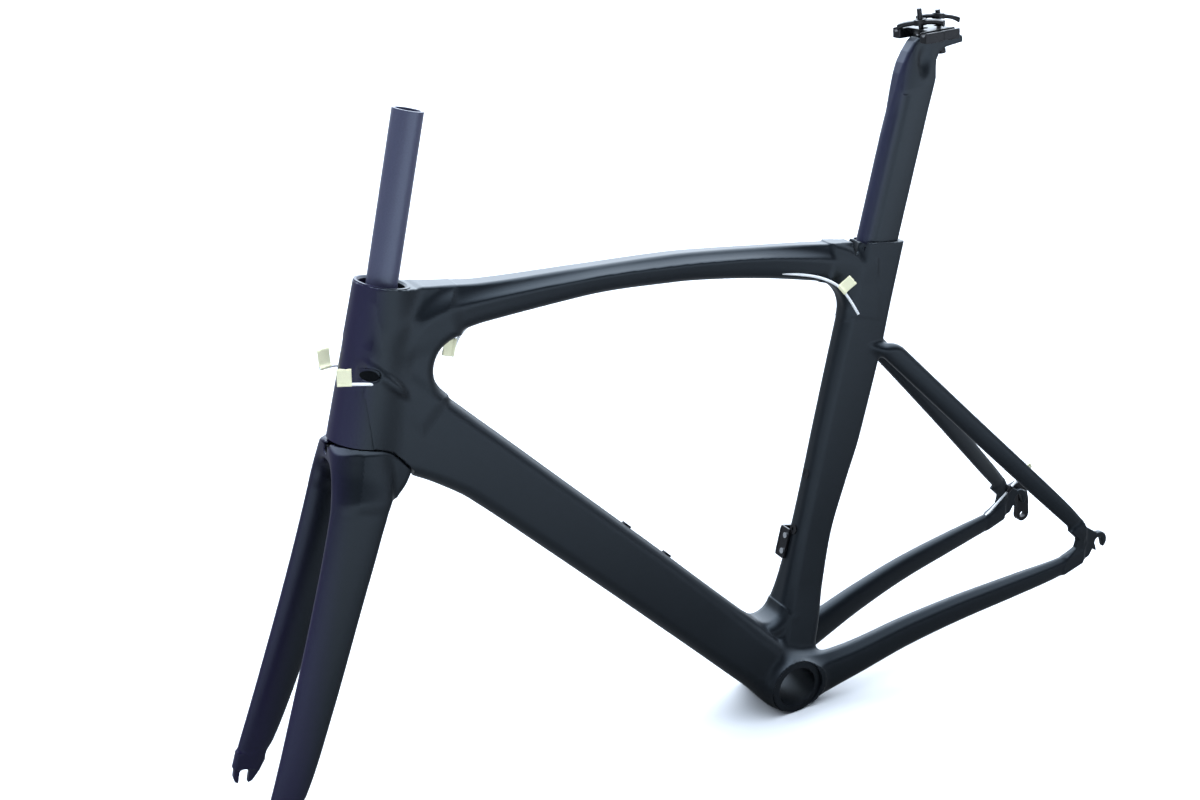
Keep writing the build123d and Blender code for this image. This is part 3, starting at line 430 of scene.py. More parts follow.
def frame_tubes(x, y, z, shaft):
    """Every tube and web, joined with fillets; shaft ends the front ones inside the head tube."""
    body = join(np.maximum(down_tube(x, y, z), shaft), seat_tube(x, y, z), 7.0)
    body = join(body, web(x, y, z, *BOTTOM_WEB), 2.5)
    body = join(body, bottom_shell(x, y, z), 16.0)
    body = join(body, stay(x, y, z, CHAIN_STATIONS, crease=CHAIN_CREASE), 14.0)
    body = join(body, np.maximum(top_tube(x, y, z), shaft), 5.0)
    body = join(body, np.maximum(web(x, y, z, *HEAD_WEB), shaft), 9.0)
    body = join(body, web(x, y, z, *SEAT_WEB), 2.5)
    body = join(body, head_cone(x, y, z), 14.0)
    return join(body, stay_roots(x, y, z), 7.5)


def port_folds(body, y, along, behind):
    """The liner port's hollow in each side of the head tube, and the lip that runs back from it."""
    back = behind - LIP_AT[1]
    fall = along - LIP_AT[0] + back * LIP_FALL
    body = join(body, ellipsoid((fall, back, y - LIP_AT[2]), LIP_SIZE), 4.0)
    hollow = ellipsoid((along - HOLLOW_AT[0], behind - HOLLOW_AT[1]), HOLLOW_SIZE)
    return cut(body, np.maximum(hollow, HOLLOW_FLOOR - y), 2.0)


def head_openings(body, x, y, z, along, behind):
    """Room for the fork crown, the head tube's bore and sloped rim, and the bottom shell's open ends."""
    body = cut(body, crown_room(x, y, z), 1.5)
    bore = np.hypot(behind, y) - HEAD_BORE_R
    body = cut(body, np.maximum(bore, HEAD_BORE_BOTTOM - along), 0.6)
    body = np.maximum(body, SHELL_FACE_R - np.hypot(x, z))
    rim = along + HEAD_RIM - np.maximum(behind - RIM_SLOPES_BEHIND, 0) * RIM_SLOPE
    return meet(body, rim, 1.2)


def clamp_openings(body, x, y, z, along, behind):
    """The seat tube's sloped mouth, the wedge's pocket and the room for the post."""
    ahead, above = x - COLLAR_AT[0], z - COLLAR_AT[1]
    collar = above * math.cos(COLLAR_SLOPE) - ahead * math.sin(COLLAR_SLOPE)
    near_collar = (x < -60) & (along > 400)
    body = np.maximum(body, np.where(near_collar, collar, -BIG))
    pocket = ellipsoid((y, behind - POCKET_BEHIND), POCKET_SIZE)
    body = cut(body, np.maximum(pocket, POCKET_BOTTOM - along), 1.2)
    room = rounded(y, behind, *POST_ROOM)
    return cut(body, np.maximum(room, POST_ROOM_BOTTOM - along), 0.8)


def frame_body(p):
    x, y, z = p[..., 0], np.abs(p[..., 1]), p[..., 2]
    seat_along, seat_behind = along_line(x, z, SHELL_CENTRE, SEAT_ANGLE)
    head_along, head_behind = along_line(x, z, HEAD_TOP, HEAD_ANGLE)
    body = frame_tubes(x, y, z, HEAD_SHAFT - head_behind)
    body = port_folds(body, y, head_along, head_behind)
    body = cut(body, z - SKIN_BOTTOM, 6.0)
    body = head_openings(body, x, y, z, head_along, head_behind)
    return clamp_openings(body, x, y, z, seat_along, seat_behind)


# ---------------------------------------------------------------- the fork's skin
def fork_tip(along, y, behind):
    back, up = behind - FORK_AXLE[1], along - FORK_AXLE[0]
    slot = np.where(up < 0, np.abs(back), np.hypot(back, up)) - FRONT_SLOT_R
    flat = cut(outline(back, up, FORK_TIP), slot, 0.5)
    return plate(flat, y, TIP_INNER + TIP_THICK / 2, TIP_THICK / 2, 1.3)


def fork_crown(along, y, behind):
    """Round in front, widening downwards, with sides that slant to a tail behind."""
    half = CROWN_R + np.clip(CROWN_WIDENS_AT - along, 0, CROWN_WIDENS_OVER) * CROWN_WIDENING
    front = np.hypot(y * CROWN_R / half, behind) - CROWN_R
    wide = (half - 10.1) * 0.55
    slant = ((y - half + 0.6) * CROWN_DEPTH + (behind - 7) * wide) / np.hypot(wide, CROWN_DEPTH)
    slant = cut(slant, half - 0.8 - y, 8.0)
    tail = np.maximum(cut(slant, CROWN_TAIL - behind, 9.0), -behind)
    crown = join(front, tail, 9.0)
    rise = (CROWN_REAR_BOTTOM[1] - behind) * CROWN_UNDER_SLOPE
    under = np.maximum((CROWN_REAR_BOTTOM[0] - rise - along) / 1.66, CROWN_BOTTOM - along)
    return meet(crown, under, 9.0)


def fork_arch(along, y, behind):
    """The space between the blades: round on top, falling away to the front and rear."""
    drop = ARCH_SAG_R - np.sqrt(ARCH_SAG_R**2 - np.clip(behind + 45, -300, 300) ** 2)
    height = along - ARCH_TOP + drop
    return np.where(height > 0, np.hypot(y, height) - ARCH_R, y - ARCH_R)


def fork_body(p):
    x, y, z = p[..., 0], np.abs(p[..., 1]), p[..., 2]
    along, behind = along_line(x, z, HEAD_TOP, HEAD_ANGLE)
    r = np.hypot(behind, y)
    body = join(fork_crown(along, y, behind), stay(along, y, behind, BLADE_SHAPE, BLADE_POWER), 11.0)
    body = join(body, fork_tip(along, y, behind), 5.0)
    roof = (along - CROWN_TOP + (r - CROWN_R) * CONE_SLOPE) * CONE_COS
    body = meet(body, np.maximum(roof, along - CROWN_TOP), 1.0)
    body = cut(body, fork_arch(along, y, behind), 6.0)
    brake_hole = np.hypot(y, along - BRAKE_HOLE_ALONG) - BRAKE_HOLE_R
    body = cut(body, np.maximum(brake_hole, behind + 10), 0.8)
    return np.maximum(body, x - FORK_LIMIT)


# ---------------------------------------------------------------- seatpost and saddle clamp
def post_body(p):
    """The post's side view, thinner towards its edges and head, with a groove and a dent in each side."""
    x, y, z = p[..., 0], np.abs(p[..., 1]), p[..., 2]
    along, behind = along_line(x, z, SHELL_CENTRE, SEAT_ANGLE)
    narrow = POST_HEAD_NARROWING * ramp(z, 622, 45)
    edge = POST_FRONT_EDGE - (POST_FRONT_EDGE - POST_REAR_EDGE) * ramp(behind, 2, 16)
    edge = edge + (POST_HEAD_EDGE - edge) * ramp(z, 600, 50)
    lens = POST_LENS * np.clip((behind - 1) / 25, -0.7, 1) ** 2
    body = plate(outline(x, z, POST_SIDE), y, 0, POST_HALF - narrow - lens, edge)
    groove = ellipsoid((behind - GROOVE_BEHIND, y - GROOVE_OUT), GROOVE_SIZE)
    body = cut(body, np.maximum(groove, along - GROOVE_TOP), 2.4)
    body = cut(body, np.hypot(x - TILT[0], z - TILT[1]) - POST_SEAT_R, 1.0)
    dent = ellipsoid((x - DENT_AT[0], z - DENT_AT[1], y - POST_HALF), DENT_SIZE)
    return cut(body, dent, 3.5)


def cradle_body(p):
    """The saddle cradle: a half-round rocker with two pairs of rail seats."""
    x, y, z = p[..., 0], np.abs(p[..., 1]), p[..., 2]
    rocker = np.maximum(np.hypot(x - TILT[0], z - TILT[1]) - CRADLE_R, y - CRADLE_HALF)
    front, rear = (
        rounded(y - RAIL_SPACING, x - middle, half, low, high, 2, 2)
        for middle, half, low, high in (FRONT_SEAT, REAR_SEAT)
    )
    seats = np.maximum(np.minimum(front, rear), CRADLE_BOTTOM - z)
    body = join(rocker, seats, 2.0)
    body = cut(body, CRADLE_TOP + RAIL_HEIGHT - z, 1.2)
    body = cut(body, np.hypot(y - RAIL_SPACING, z - CRADLE_TOP - RAIL_HEIGHT) - RAIL_R, 0.6)
    leaning = x + (z - CRADLE_TOP) * CLAMP_BOLT_LEAN
    front_bolt, rear_bolt = (np.hypot(leaning - at, y) for at in CLAMP_BOLTS)
    return cut(body, np.minimum(front_bolt, rear_bolt) - CLAMP_HOLE_R, 0.5)


def yoke_body(middle, normal, direction, reach, width, thick):
    """An upper yoke: a bar whose drooping, thickened ends hook over the rails, and a boss for its bolt."""
    normal = np.array(normal) / np.linalg.norm(normal)
    direction = np.array(direction, float)
    direction -= normal * (direction @ normal)
    direction /= np.linalg.norm(direction)
    across = np.cross(normal, direction)

    def field(p):
        d = p - np.array(middle, float)
        a, b, c = d @ direction, d @ across, d @ normal
        far = np.clip(np.abs(a) / reach, 0, 1)
        under = -thick - YOKE_END_THICKENING * far**4
        section = rounded(b, c + YOKE_DROOP * far**3, width, under, thick, 1.4, 1.4)
        bar = np.maximum(section, np.abs(a) - reach)
        boss = np.maximum(np.hypot(a, b) - YOKE_BOSS_R, np.abs(c - 0.4) - thick - 0.5)
        return cut(join(bar, boss, 2.5), np.hypot(a, b) - YOKE_HOLE_R, 0.5)
    return field


# ---------------------------------------------------------------- rear ends
def rear_end(p):
    """Where the left chainstay and seatstay meet in the dropout."""
    x, y, z = p[..., 0], p[..., 1], p[..., 2]
    stays = join(stay(x, y, z, CHAIN_STATIONS, crease=CHAIN_CREASE), stay(x, y, z, STAY_STATIONS), 7.0)
    eye = np.hypot(x - DROPOUT_EYE[0], z - DROPOUT_EYE[1]) - DROPOUT_EYE_R
    back, up = x - REAR_AXLE[0], z - REAR_AXLE[1]
    slot = np.minimum(np.hypot(back, up) - REAR_SLOT_R,
                      np.maximum(np.abs(back - up * REAR_SLOT_LEAN) - REAR_SLOT_R, up))
    flat = cut(np.minimum(outline(x, z, DROPOUT), eye), slot, 0.5)
    body = join(stays, plate(flat, y, DROPOUT_MIDDLE, DROPOUT_HALF, 1.6), 8.0)
    return np.maximum(body, y - OUTER_SIDE)


def mirrored_rear_end(p):
    return rear_end(p * (1, -1, 1))


def past(field, limit, side):
    """The part of a field on one side of the plane x = limit."""
    return lambda p: np.maximum(field(p), side * (p[..., 0] - limit))


# ---------------------------------------------------------------- meshes from fields
# a field is sampled in full only in the blocks that may hold some surface
BLOCK = 8
BLOCK_DIAGONAL = 1.75
FIELD_SLACK = 1.25
BATCH = 400


def surface(field, low, high, size):
    """Quads on the zero surface, as points and corners. A box that starts at y = 0 is mirrored in y."""
    counts = [int(math.ceil((high[i] - low[i]) / size / BLOCK)) * BLOCK for i in range(3)]
    start = np.array(low, float)
    blocks = [np.arange(0, n, BLOCK) for n in counts]
    corners = np.stack(np.meshgrid(*blocks, indexing="ij"), -1).reshape(-1, 3)
    half = (BLOCK - 1) / 2 * size
    middles = field(start + corners * size + half)
    near = corners[np.abs(middles) < half * BLOCK_DIAGONAL * FIELD_SLACK + 3]
    sides = np.where(middles.reshape([len(b) for b in blocks]) < 0, -BIG, BIG).astype(np.float32)
    values = sides.repeat(BLOCK, 0).repeat(BLOCK, 1).repeat(BLOCK, 2)
    cells = np.stack(np.meshgrid(*[np.arange(BLOCK)] * 3, indexing="ij"), -1).reshape(-1, 3)
    for i in range(0, len(near), BATCH):
        at = near[i:i + BATCH, None] + cells[None]
        values[at[..., 0], at[..., 1], at[..., 2]] = field(start + at * size)
    band = 3 * size
    values = np.clip(values, -band, band)
    origin = start
    if low[1] == 0:
        values = np.concatenate([values[:, :0:-1], values], 1)
        origin = start - (0, (counts[1] - 1) * size, 0)
    grid = openvdb.FloatGrid(band)
    grid.copyFromArray(np.ascontiguousarray(values))
    points, quads = grid.convertToQuads(0.0)
    return np.array(points, float) * size + origin, np.array(quads)


def gradient(field, p, step=0.15):
    out = np.empty_like(p)
    for axis in range(3):
        shift = np.zeros(3)
        shift[axis] = step
        out[:, axis] = (field(p + shift) - field(p - shift)) / (2 * step)
    return out


def settle(field, points, size, steps=3):
    """Moves points onto the field's zero surface, at most half a cell at a time."""
    for _ in range(steps):
        g = gradient(field, points)
        move = g * (field(points) / np.maximum((g * g).sum(1), 0.05))[:, None]
        length = np.linalg.norm(move, axis=1, keepdims=True)
        points = points - move * np.minimum(1, 0.5 * size / np.maximum(length, 1e-9))
    return points


def mesh_piece(name, points, faces, normals=None):
    """A smooth object from points in millimetres and faces that all have the same number of corners."""
    mesh = bpy.data.meshes.new(name)
    mesh.vertices.add(len(points))
    mesh.vertices.foreach_set("co", (points * MM).astype(np.float32).ravel())
    mesh.loops.add(faces.size)
    mesh.loops.foreach_set("vertex_index", faces.astype(np.int32).ravel())
    mesh.polygons.add(len(faces))
    mesh.polygons.foreach_set("loop_start", np.arange(0, faces.size, faces.shape[1], dtype=np.int32))
    mesh.update(calc_edges=True)
    mesh.validate()
    mesh.polygons.foreach_set("use_smooth", np.ones(len(mesh.polygons), bool))
    if normals is not None:
        mesh.normals_split_custom_set_from_vertices(normals.tolist())
    piece = bpy.data.objects.new(name, mesh)
    bpy.context.scene.collection.objects.link(piece)
    return piece


def field_piece(name, field, low, high, size, end=None):
    """A mesh of the field's surface. With end (x, side) the piece stops open at that plane."""
    size = size
    points, quads = surface(past(field, *end) if end else field, low, high, size)
    if end:
        inside = (end[1] * (points[:, 0] - end[0]) < -0.8 * size)[quads].any(1)
        kept, quads = np.unique(quads[inside], return_inverse=True)
        points, quads = points[kept], quads.reshape(-1, 4)
    points = settle(field, points, size)
    g = gradient(field, points)
    normals = g / np.maximum(np.linalg.norm(g, axis=1, keepdims=True), 1e-9)
    a, b, c = points[quads[:, 0]], points[quads[:, 1]], points[quads[:, 2]]
    faces_out = (np.cross(b - a, c - b) * normals[quads[:, 0]]).sum(1) > 0
    if faces_out.mean() < 0.5:
        quads = quads[:, ::-1]
    return mesh_piece(name, points, quads, normals)


# ---------------------------------------------------------------- the pieces
# the frame's skin and the rear ends overlap a little where the stays are parted
REAR_CUT = -345
OVERLAP = 3
FRAME_END = (REAR_CUT - OVERLAP, -1)
REAR_END = (REAR_CUT + OVERLAP, 1)
FRONT_YOKE = yoke_body((-199.6, 0, 684), (0.137, 0, 0.9906), (-14.4, 19.1, 2.0), 23.7, 3.9, 2.2)
REAR_YOKE = yoke_body((-221.5, 0, 687), (-0.137, 0, 0.9906), (-21.6, 6.9, -3), 22.4, 3.4, 2.0)

skin = field_piece("frame_shell", frame_body, (-352, 0, -38), (432, 76, 550), 2.0, FRAME_END)
fork = field_piece("fork_shell", fork_body, (390, 0, 20), (625, 64, 400), 1.5)
post = field_piece("seatpost_shell", post_body, (-252, 0, 350), (-80, 14, 674), 1.1)
left_end = field_piece("rear_end_left", rear_end, (-413, 56, 36), (-336, 76, 140), 0.9, REAR_END)
right_end = field_piece(
    "rear_end_right", mirrored_rear_end, (-413, -76, 36), (-336, -56, 140), 0.9, REAR_END,
)
cradle = field_piece("cradle_shell", cradle_body, (-234, 0, 664), (-180, 31, 681), 0.6)
front_yoke = field_piece("front_yoke_shell", FRONT_YOKE, (-220, -25, 672), (-180, 25, 694), 0.6)
rear_yoke = field_piece("rear_yoke_shell", REAR_YOKE, (-246, -14, 675), (-197, 14, 697), 0.6)

TUBE_NODES = [
    "top_tube", "down_tube", "down_tube_flare", "seat_tube",
    "chainstay_left", "chainstay_right", "seatstay_left", "seatstay_right",
]
FORK_NODES = ["fork_crown", "fork_blade_left", "fork_blade_right", "fork_tip_left", "fork_tip_right"]
# piece, body, nodes it stands for, slot, material
SHELLS = [
    (skin, "frame", TUBE_NODES, "carbon", "carbon"),
    (fork, "fork", FORK_NODES, "carbon", "fork"),
    (post, "seatpost", ["seatpost", "post_head"], "carbon", "post"),
    (cradle, "cradle", ["saddle_cradle"], "black_alloy", "black_alloy"),
    (front_yoke, "front_yoke", ["front_yoke"], "black_alloy", "black_alloy"),
    (rear_yoke, "rear_yoke", ["rear_yoke"], "black_alloy", "black_alloy"),
    (left_end, "frame", ["rear_dropout_left"], "carbon", "carbon"),
    (right_end, "frame", ["rear_dropout_right"], "carbon", "carbon"),
]
for piece, body, nodes, slot_name, _ in SHELLS:
    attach(piece, body)
    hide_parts(*nodes)


# ---------------------------------------------------------------- camera
CAMERA_AT = (0.82168, 1.32664, 0.99105)
CAMERA_AZIMUTH = 154.477
CAMERA_ELEVATION = 22.738
CAMERA_ROLL = -4.727
CAMERA_LENS = 48.94
CAMERA_SENSOR = 36


def make_camera():
    azimuth, elevation = math.radians(CAMERA_AZIMUTH), math.radians(CAMERA_ELEVATION)
    back = Vector((
        math.sin(azimuth) * math.cos(elevation),
        -math.cos(azimuth) * math.cos(elevation),
        math.sin(elevation),
    ))
    turned = back.to_track_quat("Z", "Y").to_matrix() @ Matrix.Rotation(math.radians(CAMERA_ROLL), 3, "Z")
    data = bpy.data.cameras.new("camera")
    data.lens = CAMERA_LENS
    data.sensor_width = CAMERA_SENSOR
    data.clip_start = 0.05
    data.clip_end = 50
    camera = bpy.data.objects.new("camera", data)
    camera.matrix_world = Matrix.Translation(CAMERA_AT) @ turned.to_4x4()
    bpy.context.scene.collection.objects.link(camera)
    bpy.context.scene.camera = camera


make_camera()


# ---------------------------------------------------------------- studio
def add_node(tree, kind, values=(), **settings):
    """A new shader node with its settings, then the values of its named sockets."""
    node = tree.nodes.new(f"ShaderNode{kind}")
    for key, value in settings.items():
        setattr(node, key, value)
    for key, value in dict(values).items():
        node.inputs[key].default_value = value
    return node


def value_range(start, end, low, high):
    """Socket values of a Map Range node that takes start..end to low..high."""
    return {"From Min": start, "From Max": end, "To Min": low, "To Max": high}


def facing_level(tree, vector, direction, values, interpolation="LINEAR"):
    """A number that follows how far a vector points along a direction."""
    dot = add_node(tree, "VectorMath", {1: direction}, operation="DOT_PRODUCT")
    level = add_node(tree, "MapRange", values, interpolation_type=interpolation)
    tree.links.new(vector, dot.inputs[0])
    tree.links.new(dot.outputs["Value"], level.inputs["Value"])
    return level.outputs["Result"]


FLOOR_GAP = 0.001
FLOOR_HALF = 25
FLOOR_SEEN = (0.56, 0.565, 0.58, 1)
FLOOR_BRIGHT_SIDE = (0.30, 0.95, 0)
FLOOR_LEVELS = value_range(0.25, 1.15, 0.12, 0.62)


def make_floor():
    """A plain pale floor. The light it sends up grows towards the bright side, so undersides stay dark."""
    mesh = bpy.data.meshes.new("floor")
    builder = bmesh.new()
    bmesh.ops.create_grid(builder, x_segments=2, y_segments=2, size=FLOOR_HALF)
    builder.to_mesh(mesh)
    builder.free()
    floor = bpy.data.objects.new("floor", mesh)
    floor.location = (0, 0, cad_box[0].z - FLOOR_GAP)
    bpy.context.scene.collection.objects.link(floor)
    pale = bpy.data.materials.new("floor")
    pale.use_nodes = True
    tree = pale.node_tree
    place = add_node(tree, "TexCoord")
    level = facing_level(tree, place.outputs["Object"], FLOOR_BRIGHT_SIDE, FLOOR_LEVELS)
    under = add_node(tree, "CombineColor")
    for channel in ("Red", "Green", "Blue"):
        tree.links.new(level, under.inputs[channel])
    seen = add_node(tree, "LightPath")
    tone = add_node(tree, "Mix", {"B": FLOOR_SEEN}, data_type="RGBA")
    tree.links.new(seen.outputs["Is Camera Ray"], tone.inputs["Factor"])
    tree.links.new(under.outputs["Color"], tone.inputs["A"])
    shader = tree.nodes["Principled BSDF"]
    tree.links.new(tone.outputs["Result"], shader.inputs["Base Color"])
    shader.inputs["Roughness"].default_value = 0.9
    shader.inputs["Specular IOR Level"].default_value = 0.1
    mesh.materials.append(pale)


ROOM_LIGHT = (0.78, 0.88, 1.0, 1)
BACKDROP = (0.97, 0.975, 0.99, 1)
CEILING_FACING = (-0.30, -0.45, 0.84)
CEILING_LEVELS = value_range(0.15, 0.85, 0.05, 5.5)
WINDOW_FACING = (0.93, 0.10, 0.36)
WINDOW_LEVELS = value_range(0.35, 0.95, 0.0, 0.5)


def make_world():
    """Soft light from a wide ceiling and a window ahead; the camera sees a plain backdrop."""
    world = bpy.data.worlds.new("studio")
    world.use_nodes = True
    tree = world.node_tree
    tree.nodes.clear()
    place = add_node(tree, "TexCoord").outputs["Generated"]
    ceiling = facing_level(tree, place, CEILING_FACING, CEILING_LEVELS, "SMOOTHSTEP")
    window = facing_level(tree, place, WINDOW_FACING, WINDOW_LEVELS, "SMOOTHSTEP")
    total = add_node(tree, "Math", operation="ADD")
    tree.links.new(ceiling, total.inputs[0])
    tree.links.new(window, total.inputs[1])
    room = add_node(tree, "Background", {"Color": ROOM_LIGHT})
    tree.links.new(total.outputs["Value"], room.inputs["Strength"])
    plain = add_node(tree, "Background", {"Color": BACKDROP})
    seen = add_node(tree, "LightPath")
    mix = add_node(tree, "MixShader")
    tree.links.new(seen.outputs["Is Camera Ray"], mix.inputs["Fac"])
    tree.links.new(room.outputs[0], mix.inputs[1])
    tree.links.new(plain.outputs[0], mix.inputs[2])
    out = add_node(tree, "OutputWorld")
    tree.links.new(mix.outputs[0], out.inputs["Surface"])
    bpy.context.scene.world = world


LAMP_FROM = (-0.5, -0.6, 2.0)
LAMP_ENERGY = 1.2
LAMP_ANGLE = math.radians(70)


def make_lamp():
    lamp = bpy.data.lights.new("overhead", "SUN")
    lamp.energy = LAMP_ENERGY
    lamp.angle = LAMP_ANGLE
    sun = bpy.data.objects.new("overhead", lamp)
    sun.rotation_euler = (-Vector(LAMP_FROM)).to_track_quat("-Z", "Y").to_euler()
    bpy.context.scene.collection.objects.link(sun)


make_floor()
make_world()
make_lamp()
bpy.context.scene.view_settings.view_transform = "Standard"


# ---------------------------------------------------------------- materials
COOL_GLOSS = (0.76, 0.88, 1.0, 1)
GLOSS_SPREAD = 0.05
GRAIN_DEPTH = 0.0002
HEAD_FORWARD = (0.9583, 0, 0.2857)


def painted_violet_sheen(tree, place, base, violet_sheen):
    """Painted violet sheen: mixes a colour into base from one distance along the head tube's forward
    normal to another, so the part's front looks lit violet.
    """
    colour, start, end = violet_sheen
    share = facing_level(tree, place, HEAD_FORWARD, {"From Min": start, "From Max": end}, "SMOOTHSTEP")
    sheen_mix = add_node(tree, "Mix", {"B": (*colour, 1)}, data_type="RGBA")
    tree.links.new(share, sheen_mix.inputs["Factor"])
    tree.links.new(base, sheen_mix.inputs["A"])
    return sheen_mix.outputs["Result"]


def finish(name, colour, roughness, metallic=0.0, grain=700, bump=0.10, violet_sheen=None, specular=0.5):
    """A surface with fine grain, a slow drift in gloss and colour, and if asked a painted violet sheen on
    its front.
    """
    material = bpy.data.materials.new(name)
    material.use_nodes = True
    tree = material.node_tree
    shader = tree.nodes["Principled BSDF"]
    shader.inputs["Metallic"].default_value = metallic
    shader.inputs["Specular IOR Level"].default_value = specular
    if not metallic:
        shader.inputs["Specular Tint"].default_value = COOL_GLOSS
    place = add_node(tree, "TexCoord").outputs["Object"]
    drift = add_node(tree, "TexNoise", {"Scale": 9, "Detail": 4})
    fine = add_node(tree, "TexNoise", {"Scale": grain, "Detail": 3})
    tree.links.new(place, drift.inputs["Vector"])
    tree.links.new(place, fine.inputs["Vector"])
    glossy, dull = roughness - GLOSS_SPREAD, roughness + GLOSS_SPREAD
    gloss = add_node(tree, "MapRange", {"To Min": glossy, "To Max": dull})
    tree.links.new(drift.outputs["Fac"], gloss.inputs["Value"])
    tree.links.new(gloss.outputs["Result"], shader.inputs["Roughness"])
    darker = (*[c * 0.82 for c in colour], 1)
    lighter = (*[min(1, c * 1.22) for c in colour], 1)
    tone = add_node(tree, "Mix", {"A": darker, "B": lighter}, data_type="RGBA")
    tree.links.new(fine.outputs["Fac"], tone.inputs["Factor"])
    base = tone.outputs["Result"]
    # painted light: a violet sheen on the part's front
    if violet_sheen:
        base = painted_violet_sheen(tree, place, base, violet_sheen)
    tree.links.new(base, shader.inputs["Base Color"])
    relief = add_node(tree, "Bump", {"Strength": bump, "Distance": GRAIN_DEPTH})
    tree.links.new(fine.outputs["Fac"], relief.inputs["Height"])
    tree.links.new(relief.outputs["Normal"], shader.inputs["Normal"])
    return material


CARBON = (0.0038, 0.0050, 0.0068)
# painted violet sheen on the front, as if lit from there: colour, and where it starts and is full, in
# metres forward across the head tube's line
HEAD_VIOLET_SHEEN = ((0.0085, 0.0055, 0.0260), 0.530, 0.552)
FORK_VIOLET_SHEEN = ((0.0085, 0.0055, 0.0260), 0.540, 0.572)
POST_VIOLET_SHEEN = ((0.0130, 0.0130, 0.0340), 0.006, 0.020)
MATERIALS = {
    "carbon": finish("matte_carbon", CARBON, 0.36, violet_sheen=HEAD_VIOLET_SHEEN, specular=0.34),
    "fork": finish("fork_carbon", CARBON, 0.36, violet_sheen=FORK_VIOLET_SHEEN, specular=0.30),
    "post": finish("post_carbon", CARBON, 0.36, violet_sheen=POST_VIOLET_SHEEN, specular=0.42),
    # the steerer's carbon, brightened and made violet all over: a painted violet sheen
    "violet_sheen": finish("satin_carbon_violet_sheen", (0.045, 0.045, 0.080), 0.30, specular=0.60),
    # a near-black sheet for the painted shadow in the liner ports' mouths
    "port": finish("port_shadow", (0.0012, 0.0013, 0.0016), 0.75, specular=0.10),
    "black_alloy": finish("anodised_black", (0.012, 0.012, 0.014), 0.33, metallic=0.6, grain=1500),
    "black_steel": finish("blackened_steel", (0.02, 0.02, 0.022), 0.3, metallic=0.9, grain=1500),
    "steel": finish("polished_steel", (0.55, 0.56, 0.58), 0.22, metallic=1.0, grain=1500),
    "liner": finish("white_liner", (0.78, 0.79, 0.80), 0.38, grain=1200),
    "tape": finish("cream_paper_tape", (0.95, 0.88, 0.58), 0.75, grain=1600, bump=0.5),
}
node_slots = {part["node"]: part["material_slot"] for part in frame["record"]["subparts"]}
for name, node in frame["nodes"].items():
    # the steerer gets the carbon with the painted violet sheen
    look = "violet_sheen" if name == "steerer" else node_slots.get(name, "carbon")
    node.data.materials.clear()
    node.data.materials.append(MATERIALS[look])
for piece, _, _, _, look in SHELLS:
    piece.data.materials.append(MATERIALS[look])


# ---------------------------------------------------------------- painted shadow in the head tube's liner ports
PORT_ALONG = -80
PORT_BEHIND = -9
PORT_HALF_HEIGHT = 4.6
PORT_HALF_LENGTH = 8.2
PORT_LIFT = 0.3


def head_point(along, behind, left):
    """A point given by its distance up the head tube's line, behind it and to the left."""
    up = Vector((-math.cos(HEAD_ANGLE), 0, math.sin(HEAD_ANGLE)))
    back = Vector((-math.sin(HEAD_ANGLE), 0, -math.cos(HEAD_ANGLE)))
    return Vector((HEAD_TOP[0], left, HEAD_TOP[1])) + up * along + back * behind


def port_shadow_patch(name, side):
    """Painted shadow in the mouth of a liner port: a dark oval sheet laid on the head tube."""
    points, quads = [], []
    rings, turns = 6, 28
    for i in range(rings + 1):
        for j in range(turns):
            t = 2 * math.pi * j / turns
            along = PORT_ALONG + PORT_HALF_HEIGHT * i / rings * math.sin(t)
            behind = PORT_BEHIND + PORT_HALF_LENGTH * i / rings * math.cos(t)
            radius = HEAD_TOP_R + PORT_LIFT - along / HEAD_LENGTH * HEAD_TAPER
            points.append(head_point(along, behind, side * math.sqrt(radius**2 - behind**2)))
    for i in range(rings):
        for j in range(turns):
            k = (j + 1) % turns
            quads.append((i * turns + j, i * turns + k, (i + 1) * turns + k, (i + 1) * turns + j))
    return mesh_piece(name, np.array(points), np.array([quad[::side] for quad in quads]))


# a dark oval of painted shadow over each liner port's hollow
for side, word in ((1, "left"), (-1, "right")):
    patch = port_shadow_patch(f"head_port_shadow_{word}", side)
    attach(patch, "frame")
    patch.data.materials.append(MATERIALS["port"])


# ---------------------------------------------------------------- liner ends and the tape flags on them
HEAD_TAIL = [
    tuple(head_point(along, behind, left))
    for along, behind, left in ((-87.5, -3.5, 26.8), (-85.5, -14.5, 32.0), (-90, -37, 24.0))
]
TOP_FRONT_TAIL = [(315.3, 2.03, 483.95), (330, 3.4, 478), (337, 5, 459)]
TOP_REAR_TAIL = [
    (-24, 11.4, 461.3), (-40, 12.6, 457), (-60, 16, 451),
    (-79, 20.5, 440), (-91, 23.5, 424), (-101, 25, 404),
]
STAY_TAIL = [(-376, -62, 83.6), (-390, -60, 96.5), (-401, -59, 105), (-411, -58.5, 112)]
LINER_R = 1.4
FOLD_R = 1.75
FOLD_GAP = 0.35
LAYER_OFFSET = 0.35
TAPE_THICK = 0.00022


def route_curve(name, route):
    """A round liner along a smooth route."""
    curve = bpy.data.curves.new(name, "CURVE")
    curve.dimensions = "3D"
    spline = curve.splines.new("NURBS")
    spline.points.add(len(route) - 1)
    for point, place in zip(spline.points, route):
        point.co = (*(c * MM for c in place), 1)
    spline.order_u = 3
    spline.use_endpoint_u = True
    spline.resolution_u = 16
    curve.bevel_depth = LINER_R * MM
    curve.bevel_resolution = 6
    curve.use_fill_caps = True
    cord = bpy.data.objects.new(name, curve)
    bpy.context.scene.collection.objects.link(cord)
    return cord


